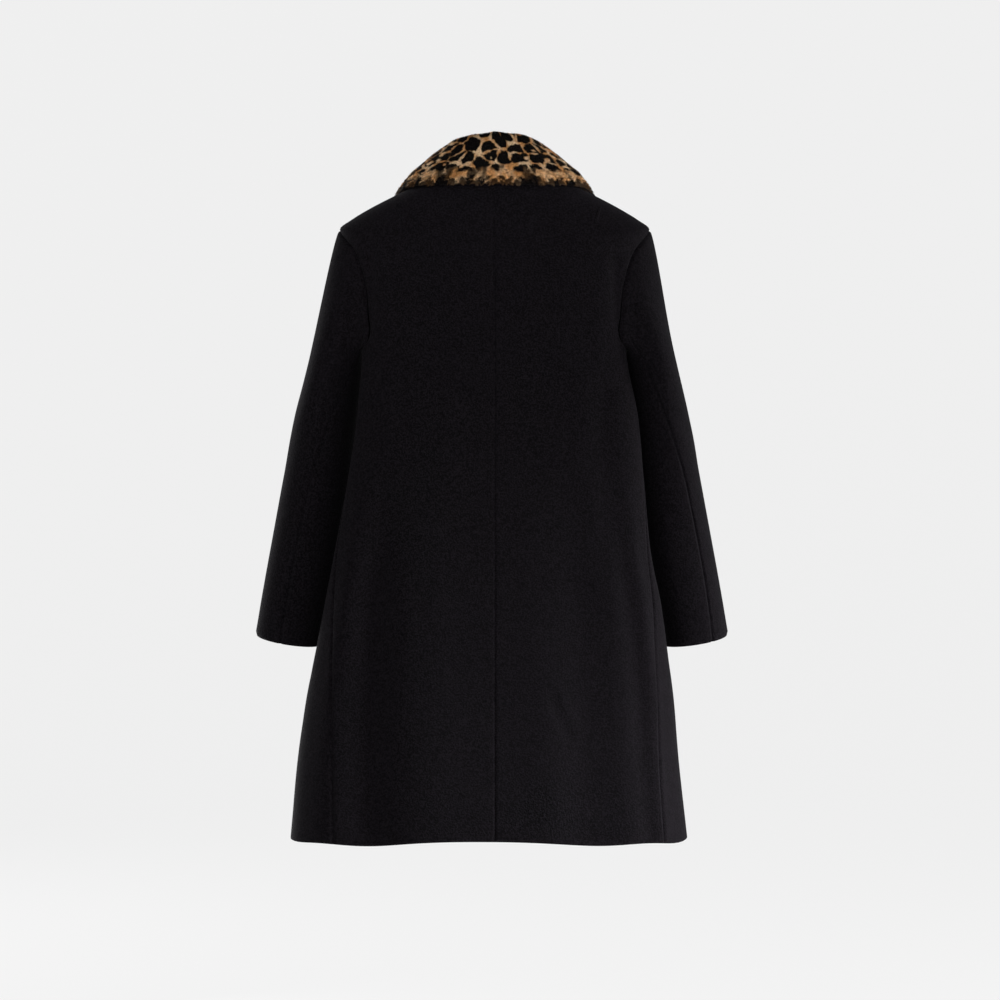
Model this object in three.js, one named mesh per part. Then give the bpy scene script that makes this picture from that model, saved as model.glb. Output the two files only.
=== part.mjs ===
// A knee-length wool coat with a shearling collar, filled out as if worn and hollow inside.
// It is two backs with a centre seam, two fronts that lap, four sleeve pieces, a fur collar that folds
// over, and the cloth under collar inside the fold. Every piece is a thin wall of its own.
// Units are millimetres and +Z is up. The front faces -Y and the wearer's left is +X. The origin is the
// middle of the neck, level with the points where the shoulder seams meet it.

import * as THREE from "three";

// Driving dimensions
const CLOTH = 2.4; // thickness of the wool cloth
const FUR = 10; // thickness of the shearling, skin and pile together
const UNDER_COLLAR = 1.9; // thickness of the cloth under the fur
const SEAM_GAP = 0.35; // between two pieces at a seam
const LAP = 60; // how far one front lies over the other
const LAP_RISE = 60; // length over which the under front sinks to lie below the upper one
const HEM = -925;
const UNDERARM = -243;
const SHOULDER_TIP = -73;
const NECK = 0;

// How finely each piece is divided
const HEM_STEPS = 13;
const ARMHOLE_STEPS = 11;
const UNDER_SLEEVE_STEPS = 4; // armhole steps on each side of the underarm that the under sleeve covers
const BACK_COLUMNS = 12;
const FRONT_COLUMNS = 14;
const CAP_ROWS = 7;
const SLEEVE_ROWS = 11;
const BACK_ANCHOR = 22; // angle up to which a back's columns would be even
const FRONT_ANCHOR = -28; // angle up to which a front's columns would be even

const LEFT = 1;
const RIGHT = -1;
const DEGREE = Math.PI / 180;

/** Rows of numbers under named columns, as a list of objects. */
const table = (columns, rows) =>
  rows.map((row) => Object.fromEntries(columns.map((name, i) => [name, row[i]])));

// Level sections of the body. z is the height at the sides; left and right are the half widths; back, front
// and widest are the y of the centre back, of the centre front and of the widest place. zBack and zFront are
// the heights at the centre back and front, and roundBack and roundFront the exponents of the two ends.
const BODY = table(
  ["z", "left", "right", "back", "front", "widest", "zBack", "zFront", "roundBack", "roundFront"],
  [
    [HEM, 285, 268, 142, -168, 22, -917, -925, 2.3, 2.25],
    [-815, 275, 256, 136, -161, 26, -811, -815, 2.3, 2.2],
    [-731, 263, 249, 130, -154, 31, -729, -731, 2.3, 2.1],
    [-655, 248, 239, 124, -147, 37, -655, -655, 2.3, 2.0],
    [-603, 238, 232, 119, -142, 41, -603, -603, 2.3, 1.95],
    [-515, 221, 215, 113, -136, 46, -515, -515, 2.3, 1.9],
    [-427, 205, 207, 110, -132, 49, -428, -427, 2.3, 1.85],
    [-339, 192, 199, 110, -131, 50, -341, -341, 2.25, 1.85],
    [UNDERARM, 185, 183, 111, -131, 48, -249, -252, 2.2, 1.85],
    [-200, 196, 194, 111, -128, 32, -211, -222, 2.2, 1.9],
    [-147, 204, 203, 108, -121, 14, -170, -188, 2.1, 2.0],
    [-100, 212, 211, 101, -112, 8, -129, -161, 2.0, 2.0],
    [SHOULDER_TIP, 217, 216, 95, -104, 8, -102, -144, 2.0, 2.0],
    [-59, 200, 199, 90, -98, 8, -80, -130, 2.0, 2.0],
    [-45, 177, 176, 84, -92, 8, -59, -115, 2.0, 2.0],
    [-24, 136, 136, 76, -82, 8, -29, -96, 2.0, 2.0],
    [NECK, 84, 84, 64, -70, 8, 2, -78, 2.0, 2.0],
  ],
);

// Where the armhole cuts the back and the front, in degrees round the section from its widest place
const ARMHOLE = table(
  ["z", "back", "front"],
  [
    [UNDERARM, 26, -34],
    [-203, 26, -34],
    [-175, 27.5, -33],
    [-150, 28, -30],
    [-125, 26.5, -24],
    [-100, 22, -16],
    [-85, 13, -9],
    [SHOULDER_TIP, 0, 0],
  ],
);
const SCOOP = 42; // height over which the armhole rounds in to the underarm

// Where the side seam runs, in degrees round the section from its widest place
const SIDE_SEAM = table(
  ["z", "left", "right"],
  [
    [HEM, 42, 33],
    [-820, 39, 31.5],
    [-715, 33.5, 28],
    [-662, 28.5, 25],
    [-610, 22.5, 21],
    [-558, 15.5, 16],
    [-505, 8.5, 10.5],
    [-427, 1.5, 3.5],
    [-339, -4, -3.5],
    [UNDERARM, -7, -7],
  ],
);

// Soft flutes of the skirt. high and low are the angle where a flute starts and the angle at the hem; spread
// is its half width in degrees; height is how far it stands out; it starts at top and is whole below full.
const FLUTES = table(
  ["side", "high", "low", "spread", "height", "top", "full"],
  [
    [LEFT, 28, 38, 8, 5, -380, -650],
    [LEFT, 44, 56, 8, -8, -380, -620],
    [LEFT, 60, 74, 10, 5, -380, -650],
    [RIGHT, 29, 35, 7, 7, -380, -650],
    [RIGHT, 40, 40, 5, -2, -380, -580],
    [RIGHT, 47, 48, 7.5, 4.5, -340, -600],
    [RIGHT, 62, 65, 8, -4.5, -340, -620],
    [RIGHT, 76, 76, 7, 4, -560, -860],
    [LEFT, -30, -32, 8, 8, -380, -800],
    [LEFT, -46, -50, 8, -7, -450, HEM],
    [LEFT, -64, -68, 7, 5, -560, HEM],
    [RIGHT, -28, -30, 8, 7, -400, -840],
    [RIGHT, -44, -48, 8, -6, -430, HEM],
    [RIGHT, -62, -66, 8, 5, -600, HEM],
  ],
);

// Level sections of a sleeve. left and right are how far out it reaches from the middle of the coat; y is the
// middle of the section; across and deep are its half sizes; turn is how far its rear edge is turned out.
// hindLeft, hindRight and fore are the seams, in degrees round from the outermost line.
const SLEEVE = table(
  ["z", "left", "right", "y", "across", "deep", "turn", "hindLeft", "hindRight", "fore"],
  [
    [-268, 262, 255, -14, 37, 73, 12, 121, 93, -122],
    [-340, 280, 272, -22, 42, 69, 13, 97, 74, -122],
    [-430, 298, 289, -30, 46, 63, 13, 80, 57, -124],
    [-530, 317, 308, -40, 47.5, 57, 12, 76, 54, -126],
    [-610, 332, 323, -49, 47, 53, 10, 77, 57, -128],
    [-648, 339, 330, -54, 48, 50, 10, 77, 60, -128],
  ],
);

// The collar, by degrees round the neck from the side: 90 is the centre back and -90 the centre front. stand is
// its height, lean is how far it leans out, and edge is the level of the body on which the fold comes to lie.
const COLLAR = table(
  ["angle", "stand", "lean", "edge", "belly"],
  [
    [-87, 17, -3, -55, 5],
    [-60, 19, -6, -52, 5],
    [-30, 22, -10, -38, 6],
    [0, 27, -13, -21, 7],
    [30, 33, -14, -17, 7],
    [60, 41.5, -12, -15, 7],
    [90, 45.5, -8, -14, 7],
  ],
);
const COLLAR_STATIONS = 20; // on each side of the centre back
const ROLL = 3.4; // radius of the fold between fur and under collar
const ROLL_STEPS = 4;
const FALL_STEPS = 5;
const COLLAR_CLEAR = 1.2; // air between the under collar and the coat

/** A smooth curve through one column of a table, without overshoot (monotone cubic). */
function curve(rows, key, column) {
  const x = rows.map((row) => row[key]);
  const y = rows.map((row) => row[column]);
  const steps = x.slice(1).map((value, i) => value - x[i]);
  const slopes = steps.map((step, i) => (y[i + 1] - y[i]) / step);
  const tangents = x.map((_, i) => {
    if (i === 0) return slopes[0];
    if (i === x.length - 1) return slopes[i - 1];
    const [before, after] = [slopes[i - 1], slopes[i]];
    if (before * after <= 0) return 0;
    const [w1, w2] = [2 * steps[i] + steps[i - 1], steps[i] + 2 * steps[i - 1]];
    return (w1 + w2) / (w1 / before + w2 / after);
  });
  return (value) => {
    const at = Math.min(Math.max(value, x[0]), x[x.length - 1]);
    let i = 0;
    while (i < steps.length - 1 && at > x[i + 1]) i += 1;
    const t = (at - x[i]) / steps[i];
    const [t2, t3] = [t * t, t * t * t];
    return (
      (2 * t3 - 3 * t2 + 1) * y[i] +
      (t3 - 2 * t2 + t) * steps[i] * tangents[i] +
      (3 * t2 - 2 * t3) * y[i + 1] +
      (t3 - t2) * steps[i] * tangents[i + 1]
    );
  };
}

/** Every column of a table as a curve, by column name. */
const curves = (rows, key) =>
  Object.fromEntries(Object.keys(rows[0]).map((column) => [column, curve(rows, key, column)]));

const body = curves(BODY, "z");
const armhole = curves(ARMHOLE, "z");
const sideSeam = curves(SIDE_SEAM, "z");
const sleeve = curves([...SLEEVE].reverse(), "z");
const collar = curves(COLLAR, "angle");

const mix = (a, b, t) => a + (b - a) * t;
const smooth = (t) => {
  const held = Math.min(Math.max(t, 0), 1);
  return held * held * (3 - 2 * held);
};
const power = (value, exponent) => Math.sign(value) * Math.abs(value) ** exponent;

/** The body's half width on a side. */
const halfWidth = (side, z) => (side === LEFT ? body.left(z) : body.right(z));

/** A point of the smooth body at a side, a level and an angle in degrees, with no flutes. */
function smoothPoint(side, z, degrees) {
  const [c, s] = [Math.cos(degrees * DEGREE), Math.sin(degrees * DEGREE)];
  const atBack = s >= 0;
  const exponent = 2 / (atBack ? body.roundBack(z) : body.roundFront(z));
  const width = halfWidth(c >= 0 ? side : -side, z);
  const depth = atBack ? body.back(z) - body.widest(z) : body.widest(z) - body.front(z);
  const height = atBack ? body.zBack(z) : body.zFront(z);
  return new THREE.Vector3(
    side * width * power(c, exponent),
    body.widest(z) + depth * power(s, exponent),
    mix(z, height, s * s),
  );
}

/** How far the flutes lift the skirt at a side, a level and an angle. */
function fluteLift(side, z, degrees) {
  return FLUTES.filter((flute) => flute.side === side).reduce((lift, flute) => {
    const growth = smooth((flute.top - z) / (flute.top - flute.full));
    const angle = mix(flute.high, flute.low, (flute.top - z) / (flute.top - HEM));
    const away = (degrees - angle) / flute.spread;
    return lift + flute.height * growth * Math.exp(-away * away);
  }, 0);
}

/** The outward normal of a surface(side, z, degrees), from small steps on it. */
function normalOf(surface, side, z, degrees) {
  const [turn, rise] = [0.4, 1.5];
  const along = surface(side, z, degrees + turn).sub(surface(side, z, degrees - turn));
  const up = surface(side, Math.min(z + rise, NECK), degrees).sub(
    surface(side, Math.max(z - rise, HEM), degrees),
  );
  return up.cross(along).multiplyScalar(-side).normalize();
}

/** A point of the coat's outer surface. */
function bodyPoint(side, z, degrees) {
  const point = smoothPoint(side, z, degrees);
  const lift = fluteLift(side, z, degrees);
  if (Math.abs(lift) < 1e-3) return point;
  return point.addScaledVector(normalOf(smoothPoint, side, z, degrees), lift);
}

const bodyNormal = (side, z, degrees) => normalOf(bodyPoint, side, z, degrees);

/** The angle at which the back ends, and the angle at which the front starts, at a side and a level. */
function edges(side, z) {
  if (z >= SHOULDER_TIP) return { back: 0, front: 0 };
  const seam = side === LEFT ? sideSeam.left : sideSeam.right;
  if (z <= UNDERARM) return { back: seam(z), front: seam(z) };
  const q = Math.min((z - UNDERARM) / SCOOP, 1);
  const open = Math.sqrt(1 - (1 - q) ** 2);
  return {
    back: mix(seam(UNDERARM), armhole.back(z), open),
    front: mix(seam(UNDERARM), armhole.front(z), open),
  };
}

/** The lengths along a section from one angle to each of many, up to another angle. */
function runAlong(side, z, from, to) {
  const fine = 90;
  const angles = Array.from({ length: fine + 1 }, (_, i) => mix(from, to, i / fine));
  const points = angles.map((angle) => bodyPoint(side, z, angle));
  const run = [0];
  points.slice(1).forEach((point, i) => run.push(run[i] + point.distanceTo(points[i])));
  return { angles, run, length: run[fine] };
}

/**
 * The angles of a panel's columns, from its end at the centre to its edge at the side. They start and stop a
 * little in from both. Columns near the centre stay even whatever the edge does; those near the edge follow it.
 */
function spread(side, z, centre, edge, count, centreIn, edgeIn) {
  const { angles, run, length } = runAlong(side, z, centre, edge);
  const even = runAlong(side, z, centre, centre > 0 ? BACK_ANCHOR : FRONT_ANCHOR).length;
  return Array.from({ length: count + 1 }, (_, column) => {
    const share = column / count;
    const reach = share * mix(even, length, share ** 3);
    const wanted = Math.min(Math.max(reach, centreIn), length - edgeIn);
    let i = 0;
    while (i < angles.length - 2 && wanted > run[i + 1]) i += 1;
    return mix(angles[i], angles[i + 1], (wanted - run[i]) / (run[i + 1] - run[i]));
  });
}

/** The angle past the centre front that lies a given distance beyond it. */
function beyondFront(side, z, distance) {
  const width = halfWidth(-side, z);
  const c = (distance / width) ** (body.roundFront(z) / 2);
  return -90 - Math.asin(Math.min(c, 1)) / DEGREE;
}

/** A closed wall between an outer and an inner grid of points, as rows of columns. */
function wallBetween(outer, inner) {
  const [rows, columns] = [outer.length, outer[0].length];
  const index = [];
  const at = (layer, row, column) => (layer * rows + row) * columns + column;
  const quad = (a, b, c, d) => index.push(a, b, c, a, c, d);
  for (let r = 0; r < rows - 1; r += 1) {
    for (let c = 0; c < columns - 1; c += 1) {
      quad(at(0, r, c), at(0, r, c + 1), at(0, r + 1, c + 1), at(0, r + 1, c));
      quad(at(1, r, c), at(1, r + 1, c), at(1, r + 1, c + 1), at(1, r, c + 1));
    }
  }
  const [top, end] = [rows - 1, columns - 1];
  for (let c = 0; c < end; c += 1) {
    quad(at(1, 0, c), at(1, 0, c + 1), at(0, 0, c + 1), at(0, 0, c));
    quad(at(0, top, c), at(0, top, c + 1), at(1, top, c + 1), at(1, top, c));
  }
  for (let r = 0; r < top; r += 1) {
    quad(at(0, r, 0), at(0, r + 1, 0), at(1, r + 1, 0), at(1, r, 0));
    quad(at(1, r, end), at(1, r + 1, end), at(0, r + 1, end), at(0, r, end));
  }
  const points = [...outer.flat(), ...inner.flat()];
  if (signedVolume(points, index) < 0) index.reverse();
  const geometry = new THREE.BufferGeometry();
  geometry.setAttribute("position", new THREE.Float32BufferAttribute(points.flatMap((p) => p.toArray()), 3));
  geometry.setIndex(index);
  geometry.computeVertexNormals();
  return geometry;
}

/** The volume that triangles enclose, negative if they face inwards. */
function signedVolume(points, index) {
  let sum = 0;
  for (let i = 0; i < index.length; i += 3) {
    const [a, b, c] = [points[index[i]], points[index[i + 1]], points[index[i + 2]]];
    sum += a.dot(new THREE.Vector3().crossVectors(b, c)) / 6;
  }
  return sum;
}

/** The heights of the rows of a body panel, from hem to neck. */
function bodyLevels() {
  const skirt = Array.from({ length: HEM_STEPS }, (_, i) => mix(HEM, UNDERARM, i / HEM_STEPS));
  const shoulder = [-59, -45, -24, NECK];
  return [...skirt, ...armholeLevels(), ...shoulder];
}

/** The heights of the rows along the armhole, closer together at the underarm. */
function armholeLevels() {
  return Array.from({ length: ARMHOLE_STEPS + 1 }, (_, i) =>
    mix(UNDERARM, SHOULDER_TIP, 1 - Math.cos((i / ARMHOLE_STEPS) * (Math.PI / 2))),
  );
}

/** A back panel, from the centre seam to the side seam, armhole and shoulder. */
function backPanel(side) {
  const half = SEAM_GAP / 2;
  const grid = bodyLevels().map((z) =>
    spread(side, z, 90, edges(side, z).back, BACK_COLUMNS, half, half).map((angle) => ({ z, angle })),
  );
  return panelWall(side, grid, () => 0);
}

/** A front panel, from the side seam, armhole and shoulder to past the centre front. */
function frontPanel(side) {
  const half = SEAM_GAP / 2;
  const grid = bodyLevels().map((z) =>
    spread(side, z, beyondFront(side, z, LAP / 2), edges(side, z).front, FRONT_COLUMNS, 0, half).map(
      (angle) => ({ z, angle }),
    ),
  );
  const depth = CLOTH + SEAM_GAP + 0.3;
  const sink = (point) => (side === LEFT ? -depth * smooth((LAP / 2 + LAP_RISE - point.x) / LAP_RISE) : 0);
  return panelWall(side, grid, sink);
}

/** The wall of a body panel, whose outer face is moved by lift(point) along its normal. */
function panelWall(side, grid, lift) {
  const place = ({ z, angle }, inward) => {
    const point = bodyPoint(side, z, angle);
    return point.addScaledVector(bodyNormal(side, z, angle), lift(point) - inward);
  };
  const outer = grid.map((row) => row.map((spot) => place(spot, 0)));
  const inner = grid.map((row) => row.map((spot) => place(spot, CLOTH)));
  return wallBetween(outer, inner);
}

/** The armhole's edge as a loop: from the hind seam's start over the shoulder, round the front and underarm. */
function armholeLoop(side) {
  const levels = armholeLevels();
  const spot = (z, angle) => ({
    point: bodyPoint(side, z, angle),
    normal: bodyNormal(side, z, angle),
  });
  const rear = levels.map((z) => spot(z, edges(side, z).back));
  const fore = levels.map((z) => spot(z, edges(side, z).front));
  const up = rear.slice(UNDER_SLEEVE_STEPS);
  const down = fore.slice(1, -1).reverse();
  const under = rear.slice(0, UNDER_SLEEVE_STEPS);
  return [...up, ...down, ...under];
}

/** The direction in which the cloth leaves each point of the armhole's loop, into the hole. */
function leavingDirections(side, loop) {
  const count = loop.length;
  return loop.map(({ normal }, i) => {
    const along = loop[(i + 1) % count].point.clone().sub(loop[(i + count - 1) % count].point);
    return along.cross(normal).multiplyScalar(-side).normalize();
  });
}

/** The middle, axes and half sizes of a sleeve's section at a level. */
function sleeveSection(side, z) {
  const turn = sleeve.turn(z) * DEGREE;
  const [across, deep] = [sleeve.across(z), sleeve.deep(z)];
  const reach = Math.hypot(across * Math.cos(turn), deep * Math.sin(turn));
  const out = side === LEFT ? sleeve.left(z) : sleeve.right(z);
  const outermost = Math.atan2(deep * Math.sin(turn), across * Math.cos(turn)) / DEGREE;
  return { middle: new THREE.Vector3(out - reach, sleeve.y(z), z), across, deep, turn, outermost };
}

/** A point round a sleeve's section, tilted square to the sleeve. */
function sleevePoint(side, z, degrees) {
  const section = sleeveSection(side, z);
  const step = 12;
  const last = SLEEVE[SLEEVE.length - 1].z;
  const above = sleeveSection(side, Math.min(z + step, SLEEVE[0].z)).middle;
  const below = sleeveSection(side, Math.max(z - step, last)).middle;
  const slope = above.sub(below);
  const angle = (degrees + section.outermost) * DEGREE;
  const p = section.across * Math.cos(angle);
  const q = section.deep * Math.sin(angle);
  const x = p * Math.cos(section.turn) + q * Math.sin(section.turn);
  const y = q * Math.cos(section.turn) - p * Math.sin(section.turn);
  const rise = -(x * slope.x + y * slope.y) / slope.z;
  return new THREE.Vector3(side * (section.middle.x + x), section.middle.y + y, section.middle.z + rise);
}

/** The seams of a sleeve at a level, in degrees round from its outermost line. */
function sleeveSeams(side, z) {
  return { hind: side === LEFT ? sleeve.hindLeft(z) : sleeve.hindRight(z), fore: sleeve.fore(z) };
}

/** The angles of a sleeve's columns at a level, in the order of the armhole's loop. */
function sleeveAngles(side, z) {
  const { hind, fore } = sleeveSeams(side, z);
  const topSteps = 2 * (ARMHOLE_STEPS - UNDER_SLEEVE_STEPS);
  const underSteps = 2 * UNDER_SLEEVE_STEPS;
  const top = Array.from({ length: topSteps }, (_, i) => mix(hind, fore, i / topSteps));
  const under = Array.from({ length: underSteps }, (_, i) => mix(fore, hind - 360, i / underSteps));
  return [...top, ...under];
}

/** A point of a cubic curve between two places, with its directions there. */
function cubic(a, leaving, b, arriving, t) {
  const [t2, t3] = [t * t, t * t * t];
  return new THREE.Vector3()
    .addScaledVector(a, 2 * t3 - 3 * t2 + 1)
    .addScaledVector(leaving, t3 - 2 * t2 + t)
    .addScaledVector(b, 3 * t2 - 2 * t3)
    .addScaledVector(arriving, t3 - t2);
}

/** The whole sleeve's outer points, as rows round the tube from the armhole to the cuff. */
function sleeveGrid(side, loop) {
  const leaving = leavingDirections(side, loop);
  const [first, last] = [SLEEVE[0].z, SLEEVE[SLEEVE.length - 1].z];
  const ringAt = (z) => sleeveAngles(side, z).map((angle) => sleevePoint(side, z, angle));
  const bicep = ringAt(first);
  const below = ringAt(first - 10);
  const starts = loop.map(({ point }, i) => point.clone().addScaledVector(leaving[i], SEAM_GAP));
  const cap = Array.from({ length: CAP_ROWS }, (_, row) =>
    starts.map((start, i) => {
      const reach = start.distanceTo(bicep[i]);
      const out = new THREE.Vector3(side, 0, 0);
      const away = leaving[i].clone().addScaledVector(out, 0.9).normalize();
      const down = below[i].clone().sub(bicep[i]).normalize();
      const t = (row / CAP_ROWS) ** 1.25;
      return cubic(start, away.multiplyScalar(0.12 * reach + 10), bicep[i], down.multiplyScalar(reach + 14), t);
    }),
  );
  const lower = Array.from({ length: SLEEVE_ROWS + 1 }, (_, row) => ringAt(mix(first, last, row / SLEEVE_ROWS)));
  return [...cap, ...lower];
}

/** The inner points under a sleeve's outer points, one cloth's thickness in and level with the armhole's edge. */
function insideOf(grid, side, loop) {
  const count = grid[0].length;
  return grid.map((row, r) =>
    row.map((point, c) => {
      if (r === 0) return point.clone().addScaledVector(loop[c].normal, -CLOTH);
      const along = grid[Math.min(r + 1, grid.length - 1)][c].clone().sub(grid[Math.max(r - 1, 0)][c]);
      const round = row[(c + 1) % count].clone().sub(row[(c + count - 1) % count]);
      const inward = round.cross(along).multiplyScalar(-side).normalize();
      return point.clone().addScaledVector(inward, CLOTH);
    }),
  );
}

/** A sleeve piece: the columns of the tube from one seam to the next, pulled in by half the seam's gap. */
function sleevePiece(grid, from, steps) {
  const count = grid[0].length;
  return grid.map((row) => {
    const columns = Array.from({ length: steps + 1 }, (_, i) => row[(from + i) % count].clone());
    const pull = (edge, next) => {
      const direction = columns[next].clone().sub(columns[edge]).normalize();
      columns[edge].addScaledVector(direction, SEAM_GAP / 2);
    };
    pull(0, 1);
    pull(steps, steps - 1);
    return columns;
  });
}

/** The top and under sleeve of a side. */
function sleevePieces(side) {
  const loop = armholeLoop(side);
  const outer = sleeveGrid(side, loop);
  const inner = insideOf(outer, side, loop);
  const topSteps = 2 * (ARMHOLE_STEPS - UNDER_SLEEVE_STEPS);
  const underSteps = 2 * UNDER_SLEEVE_STEPS;
  const cut = (from, steps) => wallBetween(sleevePiece(outer, from, steps), sleevePiece(inner, from, steps));
  return { top: cut(0, topSteps), under: cut(topSteps, underSteps) };
}

/** The fold line of the collar at one place round the neck: points, and the directions away from the neck. */
function collarProfile(side, angle) {
  const neck = smoothPoint(side, NECK, angle);
  const turn = 0.5;
  const along = smoothPoint(side, NECK, angle + turn).sub(smoothPoint(side, NECK, angle - turn));
  const out = new THREE.Vector3(along.y, -along.x, 0).multiplyScalar(side).normalize();
  const up = new THREE.Vector3(0, 0, 1);
  const place = (r, h) => neck.clone().addScaledVector(out, r).addScaledVector(up, h);
  const inset = -SEAM_GAP - UNDER_COLLAR - SEAM_GAP / 2;
  const [stand, lean] = [collar.stand(angle), collar.lean(angle)];
  const points = [0, 0.5, 1].map((t) => place(inset + lean * t, SEAM_GAP + stand * t));
  const centre = inset + lean + ROLL;
  for (let i = 1; i <= ROLL_STEPS; i += 1) {
    const sweep = (i / ROLL_STEPS) * 150 * DEGREE;
    points.push(place(centre - ROLL * Math.cos(sweep), SEAM_GAP + stand + ROLL * Math.sin(sweep)));
  }
  const start = points[points.length - 1];
  const level = collar.edge(angle) * collarEndTaper(angle);
  const clear = UNDER_COLLAR + SEAM_GAP / 2 + COLLAR_CLEAR;
  const rest = smoothPoint(side, level, angle).addScaledVector(normalOf(smoothPoint, side, level, angle), clear);
  const belly = start.clone().lerp(rest, 0.45).addScaledVector(out, collar.belly(angle));
  const bend = new THREE.QuadraticBezierCurve3(start, belly, rest);
  for (let i = 1; i <= FALL_STEPS; i += 1) points.push(bend.getPoint(i / FALL_STEPS));
  return points;
}

/** The share of its full width that the collar's fold has near its front end, where the corner is rounded. */
function collarEndTaper(angle) {
  const fromEnd = Math.min(Math.max((angle - COLLAR[0].angle) / 16, 0), 1);
  return mix(0.74, 1, Math.sqrt(1 - (1 - fromEnd) ** 2));
}

/** The places round the neck where the collar's profile is set, from the left front end to the right one. */
function collarStations() {
  const end = COLLAR[0].angle;
  const angles = Array.from({ length: COLLAR_STATIONS + 1 }, (_, i) => {
    const t = i / COLLAR_STATIONS;
    return mix(end, 90, mix(t, t * t, 0.25));
  });
  const left = angles.map((angle) => ({ side: LEFT, angle }));
  const right = angles.slice(0, -1).reverse().map((angle) => ({ side: RIGHT, angle }));
  return [...left, ...right];
}

/** The collar's fold lines moved to one side by amount(step), where step is 0 at the neck and 1 at the edge. */
function collarLayer(amount) {
  return collarStations().map(({ side, angle }) => {
    const points = collarProfile(side, angle);
    const [before, after] = [collarProfile(side, angle - 0.5), collarProfile(side, angle + 0.5)];
    const last = points.length - 1;
    return points.map((point, i) => {
      const across = points[Math.min(i + 1, last)].clone().sub(points[Math.max(i - 1, 0)]);
      const round = after[i].clone().sub(before[i]);
      const away = across.cross(round).multiplyScalar(side).normalize();
      return point.clone().addScaledVector(away, amount(i / last));
    });
  });
}

/** The shearling collar: a thick wall outside the fold, rounded off at its outer edge. */
function furCollar() {
  const pile = (step) => (step > 0.99 ? 0.62 * FUR : step > 0.9 ? 0.9 * FUR : FUR);
  const skin = (step) => (step > 0.99 ? 1.2 : SEAM_GAP / 2);
  return wallBetween(collarLayer(pile), collarLayer(skin));
}

/** The cloth under collar, inside the fold. */
function underCollar() {
  const face = () => -SEAM_GAP / 2;
  const back = () => -SEAM_GAP / 2 - UNDER_COLLAR;
  return wallBetween(collarLayer(face), collarLayer(back));
}

const wool = new THREE.MeshStandardMaterial({ color: 0x131114, roughness: 0.95, metalness: 0 });
const shearling = new THREE.MeshStandardMaterial({ color: 0xa87542, roughness: 0.9, metalness: 0 });

const coat = new THREE.Group();

/** Adds one named piece to the coat. */
function add(name, geometry, material) {
  const mesh = new THREE.Mesh(geometry, material);
  mesh.name = name;
  coat.add(mesh);
}

for (const [side, word] of [[LEFT, "left"], [RIGHT, "right"]]) {
  add(`back_${word}`, backPanel(side), wool);
  add(`front_${word}`, frontPanel(side), wool);
  const { top, under } = sleevePieces(side);
  add(`top_sleeve_${word}`, top, wool);
  add(`under_sleeve_${word}`, under, wool);
}
add("collar", furCollar(), shearling);
add("under_collar", underCollar(), wool);

export default coat;
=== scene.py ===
"""A knee-length wool coat with a shearling collar, filled out as if worn and seen from behind.

The coat's forms are worked out in millimetres from the same tables as its solids, and its meshes are
written in metres. +Z is up, the front faces -Y and the wearer's left is +X. The origin is the middle of
the neck, level with the points where the shoulder seams meet it.
"""

from __future__ import annotations

import logging
import math
from collections.abc import Callable
from dataclasses import dataclass
from enum import Enum

import bpy
import numpy as np
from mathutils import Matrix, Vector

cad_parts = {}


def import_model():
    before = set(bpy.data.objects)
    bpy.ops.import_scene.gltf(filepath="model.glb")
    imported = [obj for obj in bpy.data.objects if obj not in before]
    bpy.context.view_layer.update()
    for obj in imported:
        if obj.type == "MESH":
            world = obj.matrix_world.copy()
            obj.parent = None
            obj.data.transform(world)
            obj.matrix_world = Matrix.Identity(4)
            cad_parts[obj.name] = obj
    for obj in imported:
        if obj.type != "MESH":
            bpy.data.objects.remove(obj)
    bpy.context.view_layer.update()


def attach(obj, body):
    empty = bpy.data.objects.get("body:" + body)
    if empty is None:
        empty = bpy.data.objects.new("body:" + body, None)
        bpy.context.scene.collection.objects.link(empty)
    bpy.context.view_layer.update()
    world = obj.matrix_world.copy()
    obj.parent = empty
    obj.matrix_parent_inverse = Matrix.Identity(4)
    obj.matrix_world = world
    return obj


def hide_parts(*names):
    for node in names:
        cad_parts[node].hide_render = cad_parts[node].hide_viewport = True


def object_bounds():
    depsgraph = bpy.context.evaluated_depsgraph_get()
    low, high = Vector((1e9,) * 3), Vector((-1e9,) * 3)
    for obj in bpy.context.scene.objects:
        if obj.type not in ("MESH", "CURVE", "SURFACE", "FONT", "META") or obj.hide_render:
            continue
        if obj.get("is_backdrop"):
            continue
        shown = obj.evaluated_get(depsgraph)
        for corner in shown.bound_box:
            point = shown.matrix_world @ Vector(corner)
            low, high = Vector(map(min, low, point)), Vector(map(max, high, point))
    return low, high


log = logging.getLogger("coat")

Socket = bpy.types.NodeSocket
Colour = tuple[float, float, float, float]
Triple = tuple[float, float, float]

MM = 0.001
HEM = -925.0
UNDERARM = -243.0
SHOULDER_TIP = -73.0
NECK = 0.0


class Side(Enum):
    """The wearer's sides, by the sign of x."""

    LEFT = 1
    RIGHT = -1

    @property
    def word(self) -> str:
        """The side's name, as the tables and the pieces have it."""
        return self.name.lower()

    @property
    def other(self) -> Side:
        """The opposite side."""
        return Side(-self.value)


class Slot(Enum):
    """The material slots."""

    WOOL = "wool"
    SHEARLING = "shearling"


# Forms

Surface = Callable[[Side, np.ndarray, np.ndarray], np.ndarray]


@dataclass(frozen=True)
class Table:
    """Rows of numbers under named columns, in the order of the first column."""

    columns: str
    rows: tuple[tuple[float, ...], ...]

    def curves(self) -> dict[str, "Curve"]:
        """A smooth curve of each column over the first one, by column name."""
        numbers = np.array(sorted(self.rows), float)
        return {name: Curve(numbers[:, 0], numbers[:, i]) for i, name in enumerate(self.columns.split())}


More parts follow.
